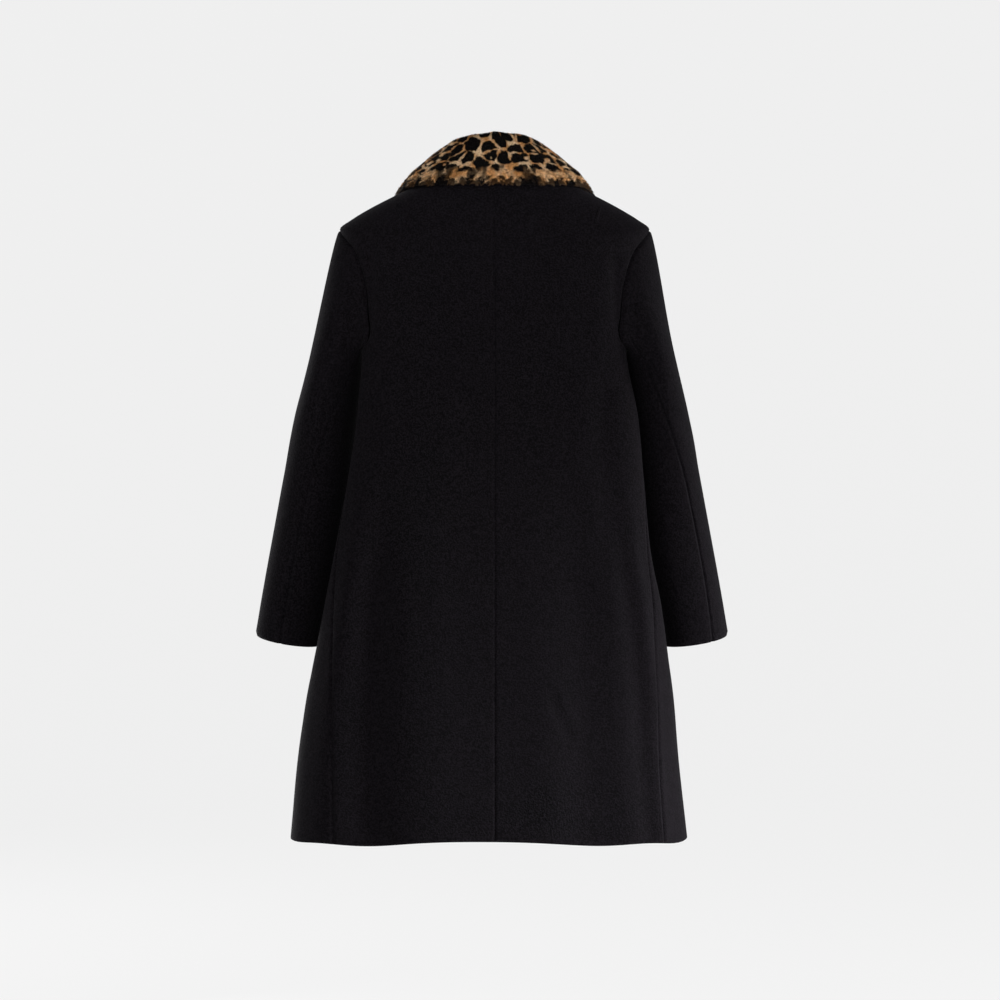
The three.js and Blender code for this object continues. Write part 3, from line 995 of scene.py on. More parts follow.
@dataclass
class Sleeve:
    """A two-piece sleeve, sewn into the armhole.

    Attributes:
        side: the wearer's side.
        top_flat: the cloth that the top sleeve is cut from, in metres; not used.
        top_area: the area of its cut in square metres; not used.
        under_flat: the cloth that the under sleeve is cut from, in metres; not used.
        under_area: the area of its cut in square metres; not used.
        creases: the creases, by the way round from the outermost line and by z.
        cloth: the thickness of the cloth.
        armhole_steps: the steps of the armhole from the underarm to the shoulder.
        under_steps: how many of them the under sleeve covers.
        cap_rows: the rows of the sleeve's cap.
        lower_rows: the steps from the cap to the cuff.
        armhole_seam: the depth and the half width of the armhole seam's dip.
        seam: the same for the two seams down the sleeve.
        seam_start: the length over which they and the creases begin.
        cuff_edge: the radius of the turned cuff.
        axis: the x and y that the way round is measured about.
        way_scale: the millimetres of the way round to a degree there.
        clear_rows: the rows past the cap from which the tube's outside is told.
        seam_blend: the distance over which the normals turn from the body's to the tube's.
    """

    side: Side
    top_flat: tuple[float, float]
    top_area: float
    under_flat: tuple[float, float]
    under_area: float
    creases: tuple[Crease, ...]
    cloth: float = 2.4
    armhole_steps: int = 66
    under_steps: int = 24
    cap_rows: int = 42
    lower_rows: int = 72
    armhole_seam: tuple[float, float] = (3.2, 2.6)
    seam: tuple[float, float] = (2.0, 2.0)
    seam_start: float = 30.0
    cuff_edge: float = 2.2
    axis: tuple[float, float] = (250.0, -30.0)
    way_scale: float = 0.9
    clear_rows: int = 18
    seam_blend: float = 9.0

    def build(self, body: BodyForm, material: bpy.types.Material) -> list[bpy.types.Object]:
        """Builds the top sleeve and the under sleeve and dresses them.

        Args:
            body: the body's form.
            material: the cloth.

        Returns:
            The two pieces.
        """
        form = SleeveForm(body, self.side, self.armhole_steps, self.under_steps)
        points, seam_normals = form.grid(self.cap_rows, self.lower_rows)
        normals = self.outward(points, seam_normals)
        from_armhole = run_lengths(points, 0)
        from_cuff = from_armhole[-1:] - from_armhole
        round_about = run_lengths(points, 1)
        split = 2 * (self.armhole_steps - self.under_steps)
        whole = round_about[:, -1:]
        seam_a = np.minimum(round_about, whole - round_about)
        seam_b = np.abs(round_about - round_about[:, split : split + 1])
        lift = groove(from_armhole, *self.armhole_seam) + rounded(from_cuff, self.cuff_edge)
        fading = smooth(from_armhole / self.seam_start)
        lift = lift + (groove(seam_a, *self.seam) + groove(seam_b, *self.seam)) * fading
        out, back = np.abs(points[..., 0]) - self.axis[0], points[..., 1] - self.axis[1]
        way = np.degrees(np.unwrap(np.arctan2(back, out), axis=1)) * self.way_scale
        for crease in self.creases:
            lift = lift + crease.lift(way, points[..., 2]) * fading
        moved = points + normals * lift[..., None]
        pieces = []
        for part, first, last, flat, area in (
            ("top_sleeve", 0, split, self.top_flat, self.top_area),
            ("under_sleeve", split, moved.shape[1] - 1, self.under_flat, self.under_area),
        ):
            name = f"{part}_{self.side.word}"
            columns = slice(first, last + 1)
            piece = grid_piece(name, moved[:, columns], normals[:, columns])
            add_wall(piece, self.cloth)
            dress(piece, material, Slot.WOOL, name)
            pieces.append(piece)
        return pieces

    def outward(self, points: np.ndarray, seam_normals: np.ndarray) -> np.ndarray:
        """Works out the outward normals of the tube, which turn into the body's at the armhole.

        Args:
            points: the tube's points.
            seam_normals: the body's normals round the armhole.

        Returns:
            The normals at each point.
        """
        wide = np.concatenate([points[:, -3:-1], points, points[:, 1:3]], axis=1)
        normals = surface_normals(wide)[:, 2:-2]
        middle = points.mean(axis=1, keepdims=True)
        free = slice(self.cap_rows + self.clear_rows, None)
        if float(np.sum(normals[free] * (points - middle)[free])) < 0:
            normals = -normals
        share = smooth(run_lengths(points, 0) / self.seam_blend)[..., None]
        return unit(seam_normals[None] * (1 - share) + normals * share)


@dataclass
class Collar:
    """The shearling collar and the under collar inside its fold.

    Attributes:
        fur: the thickness of skin and pile together.
        core: the share of it that the matted pile fills.
        under: the thickness of the under collar.
        gap: the room between the two.
        roll: the radius of the fold.
        clear: the air between the under collar and the coat.
        short: how far the core's wall stops short of the fold.
        angles: the angles of the front end and of the centre back.
        sweep: how far the fold turns over, in degrees.
        belly: how far along the fall it stands out most.
        rounding: the angle over which the front end rounds, and its shortest share.
        stations: the profiles on each side of the centre back.
        seed: the seed of the pile's scatter.
    """

    fur: float = 10.0
    core: float = 0.64
    under: float = 1.9
    gap: float = 0.35
    roll: float = 3.4
    clear: float = 1.2
    short: float = 0.4
    angles: tuple[float, float] = (-87, 90)
    sweep: float = 150.0
    belly: float = 0.45
    rounding: tuple[float, float] = (16, 0.74)
    stations: int = 110
    seed: int = 7

    def profile(self, body: BodyForm, side: Side) -> np.ndarray:
        """Works out the fold of one side.

        Args:
            body: the body's form.
            side: the wearer's side.

        Returns:
            The fold's line at each station, from the front end to the centre back.
        """
        c = COLLAR.curves()
        share = np.linspace(0, 1, self.stations + 1)
        first, last = self.angles
        angle = first + (last - first) * share
        level = np.full_like(angle, NECK)
        neck = body.smooth_point(side, level, angle)
        ahead, behind = (body.smooth_point(side, level, angle + step) for step in (0.5, -0.5))
        along = ahead - behind
        out = unit(np.stack([along[:, 1], -along[:, 0], np.zeros_like(angle)], axis=-1) * side.value)
        up = np.array([0.0, 0.0, 1.0])
        inset = -self.gap - self.under - self.gap / 2
        stand, lean = c["stand"](angle), c["lean"](angle)

        def place(r: np.ndarray, h: np.ndarray) -> np.ndarray:
            """Places out from the neck line and up from it."""
            return neck + out * np.asarray(r)[:, None] + up * np.asarray(h)[:, None]

        lines = [place(inset + lean * t, self.gap + stand * t) for t in np.linspace(0, 1, 9)]
        centre = inset + lean + self.roll
        for turn in np.radians(np.linspace(0, self.sweep, 9)[1:]):
            over = self.gap + stand + self.roll * np.sin(turn)
            lines.append(place(centre - self.roll * np.cos(turn), over))
        start = lines[-1]
        width, shortest = self.rounding
        from_end = np.clip((angle - first) / width, 0, 1)
        taper = shortest + (1 - shortest) * np.sqrt(1 - (1 - from_end) ** 2)
        rest_level = c["edge"](angle) * taper
        away = self.under + self.gap / 2 + self.clear
        rest = body.smooth_point(side, rest_level, angle)
        rest = rest + body.normal_of(body.smooth_point, side, rest_level, angle) * away
        belly = start + (rest - start) * self.belly + out * c["belly"](angle)[:, None]
        for t in np.linspace(0, 1, 25)[1:]:
            lines.append((1 - t) ** 2 * start + 2 * t * (1 - t) * belly + t**2 * rest)
        return np.stack(lines, axis=1)

    def fold(self, body: BodyForm) -> tuple[np.ndarray, np.ndarray]:
        """Works out the fold's middle surface round the whole neck.

        Args:
            body: the body's form.

        Returns:
            Its points and its normals on the fur's side.
        """
        left = self.profile(body, Side.LEFT)
        right = self.profile(body, Side.RIGHT)[::-1]
        points = np.concatenate([left, right[1:]])
        normals = surface_normals(points)
        if float(normals[:, 13, 2].mean()) < 0:
            normals = -normals
        return points, normals

    def pattern(self, points: np.ndarray) -> np.ndarray:
        """Works out the pattern's coordinates.

        Args:
            points: the fold's points.

        Returns:
            The way round and the distance up from the outer edge, at each of them.
        """
        round_about = run_lengths(points[:, 26:27], 0)
        round_about = round_about - round_about[self.stations]
        down = run_lengths(points, 1)
        return np.stack([np.broadcast_to(round_about, down.shape), down[:, -1:] - down], axis=-1)

    def build(self, body: BodyForm, fur: bpy.types.Material, wool: bpy.types.Material) -> None:
        """Builds the under collar, the matted core and the pile, and dresses them.

        Args:
            body: the body's form.
            fur: the finish of the core and the pile.
            wool: the finish of the under collar.
        """
        points, normals = self.fold(body)
        below = (points - normals * self.gap / 2)[::2, ::2]
        under = grid_piece("under_collar", below, normals[::2, ::2])
        add_wall(under, self.under)
        dress(under, wool, Slot.WOOL, "under_collar")
        uv = self.pattern(points)
        height = self.core_height(uv)
        surface = points + normals * height[..., None]
        core = grid_piece("collar", surface, normals, uv)
        add_wall(core, self.fur * self.core - self.gap / 2 - self.short)
        dress(core, fur, Slot.SHEARLING, "collar")
        pile = Pile(surface, normals, uv, np.random.default_rng(self.seed))
        pieces = [
            pile.grow(Band("collar_pile_stand", 1.1, 78, 200, 3.0, 0.36), fur),
            pile.grow(Band("collar_pile_roll", 2.35, 48, 78, 3.2, 0.32), fur),
            pile.grow(Band("collar_pile_fall", 2.35, 13, 48, 3.4, 0.32), fur),
            pile.curl(Band("collar_pile_edge", 1.35, -1, 25, 7.2, 0.42), fur),
        ]

    def core_height(self, uv: np.ndarray) -> np.ndarray:
        """Works out how high the matted pile stands, uneven and lower at the edges.

        Args:
            uv: the pattern's coordinates.

        Returns:
            The height at each of them.
        """
        u, v = uv[..., 0], uv[..., 1]
        uneven = 0.35 * np.sin(u / 6.1 + 1.3 * np.sin(v / 9)) + 0.3 * np.sin(v / 5.3 + u / 13)
        ends = smooth((np.abs(u).max() - np.abs(u)) / 9)
        edge = 0.5 + 0.5 * smooth(v / 9)
        fuller = 3.2 * np.exp(-(((u - 52) / 20) ** 2) - ((v - 82) / 16) ** 2)
        slim = 1 - 0.4 * smooth((np.abs(u) - 80) / 50) * smooth((30 - v) / 20)
        return (self.fur * self.core + uneven + fuller) * edge * slim * (0.55 + 0.45 * ends)


@dataclass(frozen=True)
class Band:
    """A band of the collar's pile.

    Attributes:
        name: the piece's name.
        density: how many strands it has on a square millimetre.
        low: the height above the outer edge where it begins.
        high: the height where it ends.
        length: the length of a strand.
        width: the width of a strand at its root.
    """

    name: str
    density: float
    low: float
    high: float
    length: float
    width: float


@dataclass
class Pile:
    """Strands that grow from a grid of points.

    Attributes:
        points: rows and columns of roots.
        normals: the outward direction at each of them.
        uv: the pattern's coordinates at each of them.
        chance: the source of the scatter.
        lock: the size of a curled lock.
        ragged: how far the upper limit of the curled band wanders.
        spread: the greatest turn of a blade about its strand.
        narrowing: how much narrower a blade is at its tip than at its root.
        sheared_root: how deep a sheared strand is rooted in the matted pile.
        curled_root: the same for a curled strand.
    """

    points: np.ndarray
    normals: np.ndarray
    uv: np.ndarray
    chance: np.random.Generator
    lock: float = 5.0
    ragged: float = 3.5
    spread: float = 1.1
    narrowing: float = 0.35
    sheared_root: float = 0.6
    curled_root: float = 0.8

    def roots(self, band: Band, ragged: float = 0.0) -> dict[str, np.ndarray]:
        """Places spread evenly over a band of the surface.

        Args:
            band: the band.
            ragged: how far its upper limit wanders.

        Returns:
            The places, the directions outwards and down there, and the pattern's coordinates.
        """
        across = np.diff(self.points[:, :-1], axis=0)
        along = np.diff(self.points[:-1], axis=1)
        area = np.linalg.norm(np.cross(across, along), axis=-1)
        round_about, height = self.uv[:-1, :-1, 0], self.uv[:-1, :-1, 1]
        slow = np.sin(round_about / 13.7 + 1.9 * np.sin(round_about / 31))
        limit = band.high + ragged * (slow + 0.6 * np.sin(round_about / 4.9))
        area = np.where((height >= band.low) & (height < limit), area, 0)
        total = np.cumsum(area.ravel())
        count = int(total[-1] * band.density)
        cell = np.searchsorted(total, self.chance.random(count) * total[-1])
        i, j = np.unravel_index(cell, area.shape)
        a, b = self.chance.random((2, count))[:, :, None]

        def blend(grid: np.ndarray) -> np.ndarray:
            """Reads a grid at the places.

            Args:
                grid: rows and columns of values.

            Returns:
                The value at each place, from the four corners round it.
            """
            low = grid[i, j] * (1 - a) + grid[i + 1, j] * a
            high = grid[i, j + 1] * (1 - a) + grid[i + 1, j + 1] * a
            return low * (1 - b) + high * b

        down = unit(along[i, j])
        normal = unit(blend(self.normals))
        return {"place": blend(self.points), "normal": normal, "down": down, "uv": blend(self.uv)}

    def grow(self, band: Band, material: bpy.types.Material) -> bpy.types.Object:
        """Grows short sheared pile that leans towards the outer edge.

        Args:
            band: the band that it covers.
            material: its finish.

        Returns:
            The piece.
        """
        r = self.roots(band)
        count = len(r["place"])
        jitter = self.chance.normal(0, 1, (count, 3))
        reach = (band.length * self.chance.uniform(0.75, 1.15, count))[:, None]
        first = unit(r["normal"] + 0.45 * r["down"] + 0.22 * jitter)
        second = unit(0.55 * r["normal"] + 0.95 * r["down"] + 0.30 * jitter)
        root = r["place"] - r["normal"] * self.sheared_root
        middle = root + first * reach * 0.55
        return self.strands(band, r, [root, middle, middle + second * reach * 0.5], material)

    def curl(self, band: Band, material: bpy.types.Material) -> bpy.types.Object:
        """Grows longer pile that gathers in curled locks, as at the sheared collar's edge.

        Each strand leaves its root towards its lock's middle, bends with the lock's own lean, and
        hooks over at its tip.

        Args:
            band: the band that it covers.
            material: its finish.

        Returns:
            The piece.
        """
        r = self.roots(band, self.ragged)
        count = len(r["place"])
        normal, side = r["normal"], unit(np.cross(r["normal"], r["down"]))
        centres = self.lock_centres(r["uv"])
        nearest = []
        for part in np.array_split(r["uv"], 40):
            away = np.linalg.norm(part[:, None] - centres[None], axis=-1)
            nearest.append(np.argmin(away, axis=1))
        lock = np.concatenate(nearest)
        lean = self.chance.normal(0, 0.55, (len(centres), 2))[lock]
        hook = self.chance.choice([-1.0, 1.0], len(centres))[lock][:, None] * side
        to_centre = (centres[lock] - r["uv"]) / self.lock
        inward = side * to_centre[:, :1] * self.side_sign(r, side) - r["down"] * to_centre[:, 1:]
        drift = side * lean[:, :1] + r["down"] * (0.55 + 0.5 * lean[:, 1:])
        jitter = self.chance.normal(0, 1, (count, 3)) * 0.13
        low = smooth(r["uv"][:, 1:] / 7)
        tall = 0.62 + 0.38 * smooth((band.high - r["uv"][:, 1:]) / 12)
        reach = band.length * tall * self.chance.uniform(0.8, 1.15, count)[:, None] * (0.75 + 0.25 * low)
        reach = reach * (1 - 0.35 * smooth((np.abs(r["uv"][:, :1]) - 90) / 50))
        stops = [r["place"] - normal * self.curled_root]
        for way, share in (
            (normal + 0.9 * inward + 0.4 * drift, 0.38),
            (0.55 * normal * low + drift + 0.8 * inward + 0.5 * hook, 0.34),
            (-0.2 * normal * low + drift - 0.6 * hook, 0.22),
            (-0.75 * normal * low - 0.3 * drift - 0.9 * hook, 0.16),
        ):
            stops.append(stops[-1] + unit(way + jitter) * reach * share)
        return self.strands(band, r, stops, material)

    def side_sign(self, r: dict[str, np.ndarray], side: np.ndarray) -> float:
        """Finds whether the side direction runs with the pattern's first coordinate.

        Args:
            r: the roots.
            side: the side direction at each of them.

        Returns:
            1 where it does and -1 where it runs against it.
        """
        round_about = self.points[1:, -1] - self.points[:-1, -1]
        middle = len(round_about) // 2
        nearest = np.argmin(np.abs(r["uv"][:, 0]))
        return 1.0 if float(side[nearest] @ round_about[middle]) > 0 else -1.0

    def lock_centres(self, uv: np.ndarray) -> np.ndarray:
        """Scatters the middles of the locks, about a lock's size apart.

        Args:
            uv: the pattern's coordinates of the roots.

        Returns:
            The pattern's coordinates of the middles.
        """
        (low_u, low_v), (high_u, high_v) = uv.min(axis=0), uv.max(axis=0)
        size = self.lock
        u, v = np.meshgrid(np.arange(low_u, high_u, size), np.arange(low_v, high_v + size, size))
        grid = np.stack([u.ravel(), v.ravel()], axis=-1)
        return grid + self.chance.uniform(-0.5, 0.5, grid.shape) * size

    def strands(
        self, band: Band, r: dict[str, np.ndarray], stops: list[np.ndarray], material: bpy.types.Material
    ) -> bpy.types.Object:
        """Joins strands, each a narrow blade through its stops, in one piece.

        Args:
            band: the band that they cover.
            r: their roots, with the pattern's coordinates and the directions there.
            stops: the places along the strands from root to tip.
            material: their finish.

        Returns:
            The piece.
        """
        count = len(r["place"])
        side = unit(np.cross(r["normal"], r["down"]))
        turn = self.chance.uniform(-self.spread, self.spread, count)[:, None]
        flat = unit(side * np.cos(turn) + r["normal"] * np.sin(turn)) * band.width / 2
        facing = np.sum(np.cross(flat, stops[1] - stops[0]) * r["normal"], axis=1, keepdims=True)
        flat = np.where(facing < 0, -flat, flat)
        corners = []
        for i, stop in enumerate(stops[:-1]):
            wide = 1 - self.narrowing * i / len(stops)
            corners += [stop - flat * wide, stop + flat * wide]
        mesh = self.blades(band.name, np.stack([*corners, stops[-1]], axis=1))
        corner_count = 4 * (len(stops) - 2) + 3
        layer = mesh.uv_layers.new(name="pattern")
        layer.data.foreach_set("uv", np.repeat(r["uv"] * MM, corner_count, axis=0).ravel())
        share = np.repeat(np.linspace(0, 1, len(stops)), 2)[:-1]
        along = mesh.attributes.new("along", "FLOAT", "POINT")
        along.data.foreach_set("value", np.tile(share, count).astype(np.float32))
        soft = unit(r["normal"] + 0.3 * self.chance.normal(0, 1, (count, 3)))
        mesh.normals_split_custom_set_from_vertices(np.repeat(soft, len(share), axis=0).tolist())
        piece = bpy.data.objects.new(band.name, mesh)
        bpy.context.scene.collection.objects.link(piece)
        dress(piece, material, Slot.SHEARLING)
        return piece

    def blades(self, name: str, corners: np.ndarray) -> bpy.types.Mesh:
        """Makes a mesh of blades, each of quads and a pointed tip.

        Args:
            name: the mesh's name.
            corners: the corners of each blade, in pairs from the root, and its tip.

        Returns:
            The mesh.
        """
        count, points = corners.shape[:2]
        quads = points // 2 - 1
        order: list[int] = []
        for first in range(0, 2 * quads, 2):
            order += [first, first + 1, first + 3, first + 2]
        order += [points - 3, points - 2, points - 1]
        mesh = bpy.data.meshes.new(name)
        mesh.vertices.add(count * points)
        mesh.vertices.foreach_set("co", (corners * MM).ravel())
        mesh.loops.add(count * len(order))
        index = np.arange(count)[:, None] * points + np.array(order)
        mesh.loops.foreach_set("vertex_index", index.ravel())
        mesh.polygons.add(count * (quads + 1))
        starts = np.arange(count)[:, None] * len(order) + 4 * np.arange(quads + 1)
        mesh.polygons.foreach_set("loop_start", starts.ravel())
        mesh.polygons.foreach_set("use_smooth", np.ones(count * (quads + 1), bool))
        mesh.update(calc_edges=True)
        return mesh


# Finishes


class Graph:
    """A material's nodes, with short ways to add and join them."""

    def __init__(self, name: str) -> None:
        """Starts a material with its shader and output alone.

        Args:
            name: the material's name.
        """
        self.material = bpy.data.materials.new(name)
        self.material.use_nodes = True
        self.tree = self.material.node_tree
        self.tree.nodes.clear()
        self.shader = self.add("ShaderNodeBsdfPrincipled")
        output = self.add("ShaderNodeOutputMaterial")
        self.tree.links.new(self.shader.outputs[0], output.inputs["Surface"])

    def add(self, kind: str, inputs: dict | None = None, **settings: object) -> bpy.types.Node:
        """Adds a node.

        Args:
            kind: the node's type.
            inputs: its sockets by name or number, each a value or another node's output.
            settings: its own settings.

        Returns:
            The node.
        """
        node = self.tree.nodes.new(kind)
        for key, value in settings.items():
            setattr(node, key, value)
        for key, value in (inputs or {}).items():
            self.fill(node.inputs[key], value)
        return node

    def fill(self, socket: Socket, value: object) -> None:
        """Gives a socket a value, or joins another node's output to it.

        Args:
            socket: the socket.
            value: the value or the output.
        """
        if isinstance(value, Socket):
            self.tree.links.new(value, socket)
        else:
            socket.default_value = value

    def math(self, operation: str, a: object, b: object = 0.0, clamp: bool = False) -> Socket:
        """The result of one sum."""
        return self.add("ShaderNodeMath", {0: a, 1: b}, operation=operation, use_clamp=clamp).outputs[0]

    def plus(self, a: object, b: object, clamp: bool = False) -> Socket:
        """The first value with the second added."""
        return self.math("ADD", a, b, clamp)

    def minus(self, a: object, b: object) -> Socket:
        """The first value less the second."""
        return self.math("SUBTRACT", a, b)

    def times(self, a: object, b: object) -> Socket:
        """The two values multiplied."""
        return self.math("MULTIPLY", a, b)

    def ramp(self, value: object, low: object, high: object, a: float = 0.0, b: float = 1.0) -> Socket:
        """A soft step from a to b as the value goes from low to high."""
        inputs = {"Value": value, "From Min": low, "From Max": high, "To Min": a, "To Max": b}
        return self.add("ShaderNodeMapRange", inputs, interpolation_type="SMOOTHSTEP").outputs[0]

    def mix(self, share: object, a: object, b: object) -> Socket:
        """Mixes two colours.

        Args:
            share: the second colour's share.
            a: the first colour.
            b: the second colour.

        Returns:
            The mix.
        """
        node = self.add("ShaderNodeMix", data_type="RGBA")
        for number, value in ((0, share), (6, a), (7, b)):
            self.fill(node.inputs[number], value)
        return node.outputs[2]

    def noise(self, vector: Socket, scale: float, detail: float = 2.0, output: str = "Fac") -> Socket:
        """A noise texture's value, or its colour."""
        inputs = {"Vector": vector, "Scale": scale, "Detail": detail}
        return self.add("ShaderNodeTexNoise", inputs).outputs[output]

    def channel(self, colour: Socket, number: int) -> Socket:
        """One channel of a colour."""
        return self.add("ShaderNodeSeparateColor", {0: colour}).outputs[number]

    def stretched(self, vector: Socket, scale: Triple) -> Socket:
        """The coordinates multiplied along each axis."""
        return self.add("ShaderNodeMapping", {"Vector": vector, "Scale": scale}).outputs[0]

    def bump(self, height: Socket, strength: float, distance: float) -> Socket:
        """The normal over a relief of a height in metres."""
        inputs = {"Strength": strength, "Distance": distance, "Height": height}
        return self.add("ShaderNodeBump", inputs).outputs[0]

    def finish(self, **values: object) -> bpy.types.Material:
        """Sets the shader's own sockets.

        Args:
            values: the sockets' values by name, with _ for a space.

        Returns:
            The material.
        """
        for key, value in values.items():
            self.fill(self.shader.inputs[key.replace("_", " ")], value)
        return self.material


@dataclass(frozen=True)
class Wool:
    """Felted near-black melton with a short nap.

    Attributes:
        deep: the colour between the fibres.
        raised: the colour of the fibres that catch the light.
        grain: the size of the felt's grain in metres.
        flecks: how much finer its flecks are.
        tufts: how much finer its tufts are, less than one because they are coarser.
        shares: how much the grain, the flecks and the tufts raise the colour.
        relief: the depth of the nap in metres.
        sheen: the tint of the nap's sheen.
    """

    deep: Colour = (0.0010, 0.00085, 0.00105, 1)
    raised: Colour = (0.0070, 0.0059, 0.0074, 1)
    grain: float = 0.0023
    flecks: float = 2.6
    tufts: float = 0.35
    shares: Triple = (0.58, 0.40, 0.12)
    relief: float = 0.0012
    sheen: Colour = (0.9, 0.88, 1.0, 1)

    def make(self) -> bpy.types.Material:
        """Makes the finish.

        Returns:
            The material.
        """
        g = Graph("melton")
        place = g.add("ShaderNodeTexCoord").outputs["Object"]
        grain = g.noise(place, 1 / self.grain, 3)
        flecks = g.noise(place, self.flecks / self.grain)
        tufts = g.noise(place, self.tufts / self.grain)
        by_grain, by_flecks, by_tufts = self.shares
        light = g.times(g.ramp(grain, 0.42, 0.60), by_grain)
        light = g.plus(light, g.times(g.ramp(flecks, 0.40, 0.64), by_flecks))
        light = g.plus(light, g.times(g.ramp(tufts, 0.35, 0.65), by_tufts), clamp=True)
        nap = g.plus(g.times(grain, 0.7), g.times(flecks, 0.3))
        return g.finish(
            Base_Color=g.mix(light, self.deep, self.raised),
            Roughness=0.95,
            Specular_IOR_Level=0.02,
            Sheen_Weight=0.008,
            Sheen_Roughness=0.6,
            Sheen_Tint=self.sheen,
            Normal=g.bump(nap, 0.6, self.relief),
        )


@dataclass(frozen=True)
class Shearling:
    """Dense pile with black rosettes on a ground from golden brown to cream, with painted shade towards
    the strands' roots and painted highlight towards their ends.

    Attributes:
        black: the colour of the spots.
        golden: the darker colour of the ground.
        cream: the lighter colour of the ground.
        spot: the size of a spot in metres.
        line: half the width of the lines between spots in metres.
        hole: the spacing of the pale middles of the rosettes in metres.
        spot_radius: the smallest and the largest radius of a spot in metres.
        hole_radius: the same for a pale middle, where a radius below zero leaves it out.
        curled: the height up to which the curled edge's finish is whole and where it ends, in metres.
        edge_tint: the colour that the curled edge leans to.
        relief: the depth of the pile's relief in metres.
    """

    black: Colour = (0.005, 0.0038, 0.0036, 1)
    golden: Colour = (0.70, 0.32, 0.09, 1)
    cream: Colour = (1.0, 0.76, 0.48, 1)
    spot: float = 0.0205
    line: float = 0.0013
    hole: float = 0.0150
    spot_radius: tuple[float, float] = (0.0122, 0.0170)
    hole_radius: tuple[float, float] = (-0.001, 0.0040)
    curled: tuple[float, float] = (0.016, 0.022)
    edge_tint: Colour = (0.86, 0.40, 0.12, 1)
    relief: float = 0.0008

    def make(self) -> bpy.types.Material:
        """Makes the finish.

        Returns:
            The material.
        """
        g = Graph("spotted shearling")
        uv = g.add("ShaderNodeUVMap", uv_map="pattern").outputs[0]
        up = g.add("ShaderNodeSeparateXYZ", {0: uv}).outputs["Y"]
        edge = g.ramp(self.torn(g, uv, up, 75, 0.006), *self.curled, 1.0, 0.0)
        dark_parts = {0: edge, 2: self.rosettes(g, uv), 3: self.fringe(g, uv, up)}
        dark = g.add("ShaderNodeMix", dark_parts).outputs[0]
        along = g.add("ShaderNodeAttribute", attribute_name="along").outputs["Fac"]
        # Painted highlight and shade: the ground leans to cream towards each strand's tip and to golden
        # towards its root.
        cream_tip_highlight = g.times(g.minus(along, 0.6), 0.6)
        tone = g.plus(g.ramp(g.noise(uv, 55, 3), 0.38, 0.62), cream_tip_highlight, clamp=True)
        ground = g.mix(tone, self.golden, self.cream)
        ground = g.mix(g.times(edge, 0.35), ground, self.edge_tint)
        fine = g.noise(g.add("ShaderNodeTexCoord").outputs["Object"], 1500)
        # Painted shade and highlight: the colour is darkened towards each strand's root and brightened
        # past its own towards its tip, with a fine random unevenness. The matted core has no along
        # values, so it takes the darkest root shade.
        shade = g.plus(g.times(along, 1.05), g.ramp(fine, 0.3, 0.7, 0.28, 0.56))
        lit = {"Color": g.mix(dark, ground, self.black), "Value": shade}
        gloss = g.times(g.minus(1.0, dark), 0.22)
        return g.finish(
            Base_Color=g.add("ShaderNodeHueSaturation", lit).outputs[0],
            Roughness=0.65,
            Specular_IOR_Level=g.plus(gloss, 0.04),
            Normal=g.bump(fine, 0.5, self.relief),
        )

    def rosettes(self, g: Graph, uv: Socket) -> Socket:
        """Spots in uneven cells, kept apart by pale lines, some with a pale middle.

        Args:
            g: the material's nodes.
            uv: the pattern's coordinates.

        Returns:
            How black each place is.
        """
        warped = self.warp(g, self.warp(g, g.stretched(uv, (1.0, 1.3, 1)), 70, 0.011), 230, 0.0035)
        borders = self.cells(g, warped, self.spot, "DISTANCE_TO_EDGE").outputs["Distance"]
        middles = self.cells(g, warped, self.spot, "F1").outputs
        line = g.ramp(g.noise(uv, 60, 1), 0.34, 0.60, -self.line * 0.3, self.line * 1.6)
        apart = g.minus(g.times(borders, self.spot), line)
        radius = g.ramp(g.channel(middles["Color"], 1), 0, 1, *self.spot_radius)
        inside = g.minus(radius, g.times(middles["Distance"], self.spot))
        spots = g.ramp(g.math("MINIMUM", apart, inside), -0.0003, 0.0005)
        holes = self.cells(g, warped, self.hole, "F1").outputs
        size = g.ramp(g.channel(holes["Color"], 0), 0.55, 0.85, *self.hole_radius)
        away = g.minus(g.times(holes["Distance"], self.hole), size)
        return g.times(spots, g.ramp(away, -0.0004, 0.0004))

    def fringe(self, g: Graph, uv: Socket, up: Socket) -> Socket:
        """Dark bars and flecks of the curled edge, and a dark rim along its lowest edge, partly the
        pile's black strand ends and partly painted shade of its underside.

        Args:
            g: the material's nodes.
            uv: the pattern's coordinates.
            up: the height above the outer edge.

        Returns:
            How black each place is.
        """
        bars = g.ramp(g.noise(g.stretched(uv, (40, 11, 1)), 1.0), 0.51, 0.58)
        # The rim is partly the black ends of the pile and partly painted shade under the curled edge.
        rim = g.ramp(self.torn(g, uv, up, 150, 0.005), 0.006, 0.010, 0.92, 0.0)
        flecks = g.ramp(g.noise(uv, 240), 0.58, 0.68, 0.0, 0.6)
        return g.math("MAXIMUM", g.plus(g.times(bars, 0.9), rim, clamp=True), flecks)

    def torn(self, g: Graph, uv: Socket, up: Socket, scale: float, reach: float) -> Socket:
        """The height above the outer edge, made uneven by a noise."""
        return g.plus(up, g.ramp(g.noise(uv, scale), 0.3, 0.7, -reach, reach))

    def warp(self, g: Graph, vector: Socket, scale: float, reach: float) -> Socket:
        """Pushes coordinates about by a noise.

        Args:
            g: the material's nodes.
            vector: the coordinates.
            scale: the noise's scale.
            reach: how far it pushes them.

        Returns:
            The pushed coordinates.
        """
        moved = g.noise(vector, scale, 1, "Color")
        for operation, value in (("SUBTRACT", (0.5, 0.5, 0.5)), ("MULTIPLY", (reach, reach, 0))):
            moved = g.add("ShaderNodeVectorMath", {0: moved, 1: value}, operation=operation).outputs[0]
        return g.add("ShaderNodeVectorMath", {0: vector, 1: moved}, operation="ADD").outputs[0]

